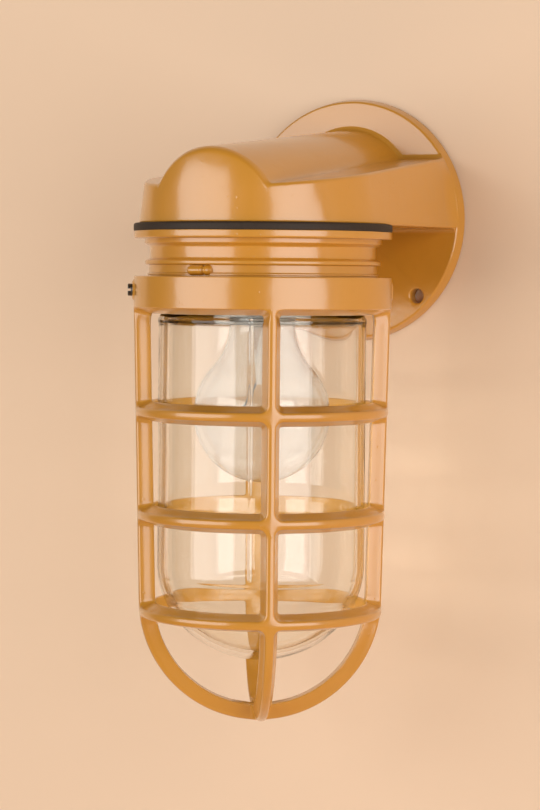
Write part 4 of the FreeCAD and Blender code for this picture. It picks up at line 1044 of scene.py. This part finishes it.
baseLow, baseHigh = [corner.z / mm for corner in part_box("bulb_base")]
shellLow, shellHigh = [corner.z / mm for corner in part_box("socket_shell")]
addPiece("bulbGlass", makeBulb(bulbLook, baseLow), "bulb", "bulb_glass", ["bulb_glass"])
addPiece("bulbBase", makeBulbBase(bulbLook, baseLow, baseHigh), "bulb", "base_aluminium", ["bulb_base"])
shellMesh = threadedSleeve(bulbLook, "socketShell", shellLow, shellHigh, *bulbLook["shell"])
addPiece("socketShell", shellMesh, "fixture", "brass", ["socket_shell"])
print("bulb made")


# finishes on the CAD nodes that keep their own shape
for part in frame["record"]["subparts"]:
    node = frame["nodes"][part["node"]]
    node.data.materials.clear()
    node.data.materials.append(finishes[part["material_slot"]])
print("node finishes set")


# wall, floor, lamps and camera
stageLook = {
    "wallColour": (0.785, 0.575, 0.405),
    "wallGap": 0.5,
    "floorDrop": -900.0,
    "reach": 2600.0,
    "wallLeft": -900.0,
    "curve": 260.0,
    "lamps": (
        {"name": "leftSoftBox", "azimuth": -28.5, "elevation": 4.0, "distance": 1500.0, "width": 1490.0,
         "height": 1110.0, "radiance": 3.28},
        {"name": "rightSoftBox", "azimuth": 59.6, "elevation": 4.0, "distance": 1500.0, "width": 1350.0,
         "height": 1110.0, "radiance": 3.66},
    ),
    "lampHeight": -80.0,
    "worldColour": (1.0, 0.87, 0.70),
    "worldStrength": 0.13,
}


def stageMaterial(look):
    # a plain pale board, seen only from its front so that the back of the object stays in view
    material, tree, shader = newMaterial("paleBoard")
    shader.inputs["Base Color"].default_value = (*look["wallColour"], 1)
    shader.inputs["Roughness"].default_value = 0.85
    shader.inputs["Specular IOR Level"].default_value = 0.2
    sideSeen = addNode(tree, "ShaderNodeNewGeometry")
    clearWhere(tree, shader, sideSeen.outputs["Backfacing"], (1, 1, 1))
    return material


def makeStage(look):
    # the wall comes down behind the plate and curves forward into the floor
    turn = np.linspace(0, math.pi / 2, 25)
    top, drop, curve, gap = look["reach"], look["floorDrop"], look["curve"], look["wallGap"]
    line = np.concatenate([
        [[gap, top]],
        np.stack([gap - curve * (1 - np.cos(turn)), drop + curve - curve * np.sin(turn)], 1),
        [[gap - look["reach"], drop]]])
    across = np.array([look["wallLeft"], look["reach"]])
    grid = np.stack([across + 0 * line[:, :1], line[:, :1] + 0 * across, line[:, 1:] + 0 * across], -1)
    index = np.arange(grid.shape[0] * 2).reshape(-1, 2)
    quads = np.stack([index[:-1, 0], index[1:, 0], index[1:, 1], index[:-1, 1]], -1)
    mesh = bpy.data.meshes.new("wallAndFloor")
    mesh.from_pydata(grid.reshape(-1, 3) * mm, [], quads.tolist())
    mesh.shade_smooth()
    mesh.materials.append(stageMaterial(look))
    stage = placeObject("wallAndFloor", mesh)


def wayFrom(look):
    # unit vector from the object toward a lamp or the camera
    azimuth, elevation = math.radians(look["azimuth"]), math.radians(look["elevation"])
    return Vector((math.sin(azimuth) * math.cos(elevation), -math.cos(azimuth) * math.cos(elevation),
                   math.sin(elevation)))


def addLamp(look, target):
    way = wayFrom(look)
    data = bpy.data.lights.new(look["name"], "AREA")
    data.shape = "RECTANGLE"
    data.size, data.size_y = look["width"] * mm, look["height"] * mm
    data.energy = look["radiance"] * math.pi * data.size * data.size_y
    lamp = placeObject(look["name"], data)
    lamp.location = target + way * look["distance"] * mm
    lamp.rotation_mode = "QUATERNION"
    lamp.rotation_quaternion = way.to_track_quat("Z", "Y")
    lamp.visible_camera = False


makeStage(stageLook)
lampTarget = Vector((0, lampY, stageLook["lampHeight"])) * mm
for lampLook in stageLook["lamps"]:
    addLamp(lampLook, lampTarget)
world = bpy.data.worlds.new("paleRoom")
bpy.context.scene.world = world
world.use_nodes = True
worldShade = world.node_tree.nodes["Background"]
worldShade.inputs["Color"].default_value = (*stageLook["worldColour"], 1)
worldShade.inputs["Strength"].default_value = stageLook["worldStrength"]

cameraLook = {
    "azimuth": 27.69,
    "elevation": 2.85,
    "roll": 0.45,
    "place": (480.11, -990.44, -23.43),
    "lens": 115.56,
}
azimuth, roll = math.radians(cameraLook["azimuth"]), math.radians(cameraLook["roll"])
back = wayFrom(cameraLook)
levelRight = Vector((math.cos(azimuth), math.sin(azimuth), 0))
levelUp = back.cross(levelRight)
right = levelRight * math.cos(roll) + levelUp * math.sin(roll)
up = levelUp * math.cos(roll) - levelRight * math.sin(roll)
cameraData = bpy.data.cameras.new("viewCamera")
cameraData.lens = cameraLook["lens"]
camera = placeObject("viewCamera", cameraData)
camera.matrix_world = Matrix((
    (right.x, up.x, back.x, cameraLook["place"][0] * mm),
    (right.y, up.y, back.y, cameraLook["place"][1] * mm),
    (right.z, up.z, back.z, cameraLook["place"][2] * mm),
    (0, 0, 0, 1)))
bpy.context.scene.camera = camera
bpy.context.scene.view_settings.view_transform = "Standard"
print("stage and camera set")
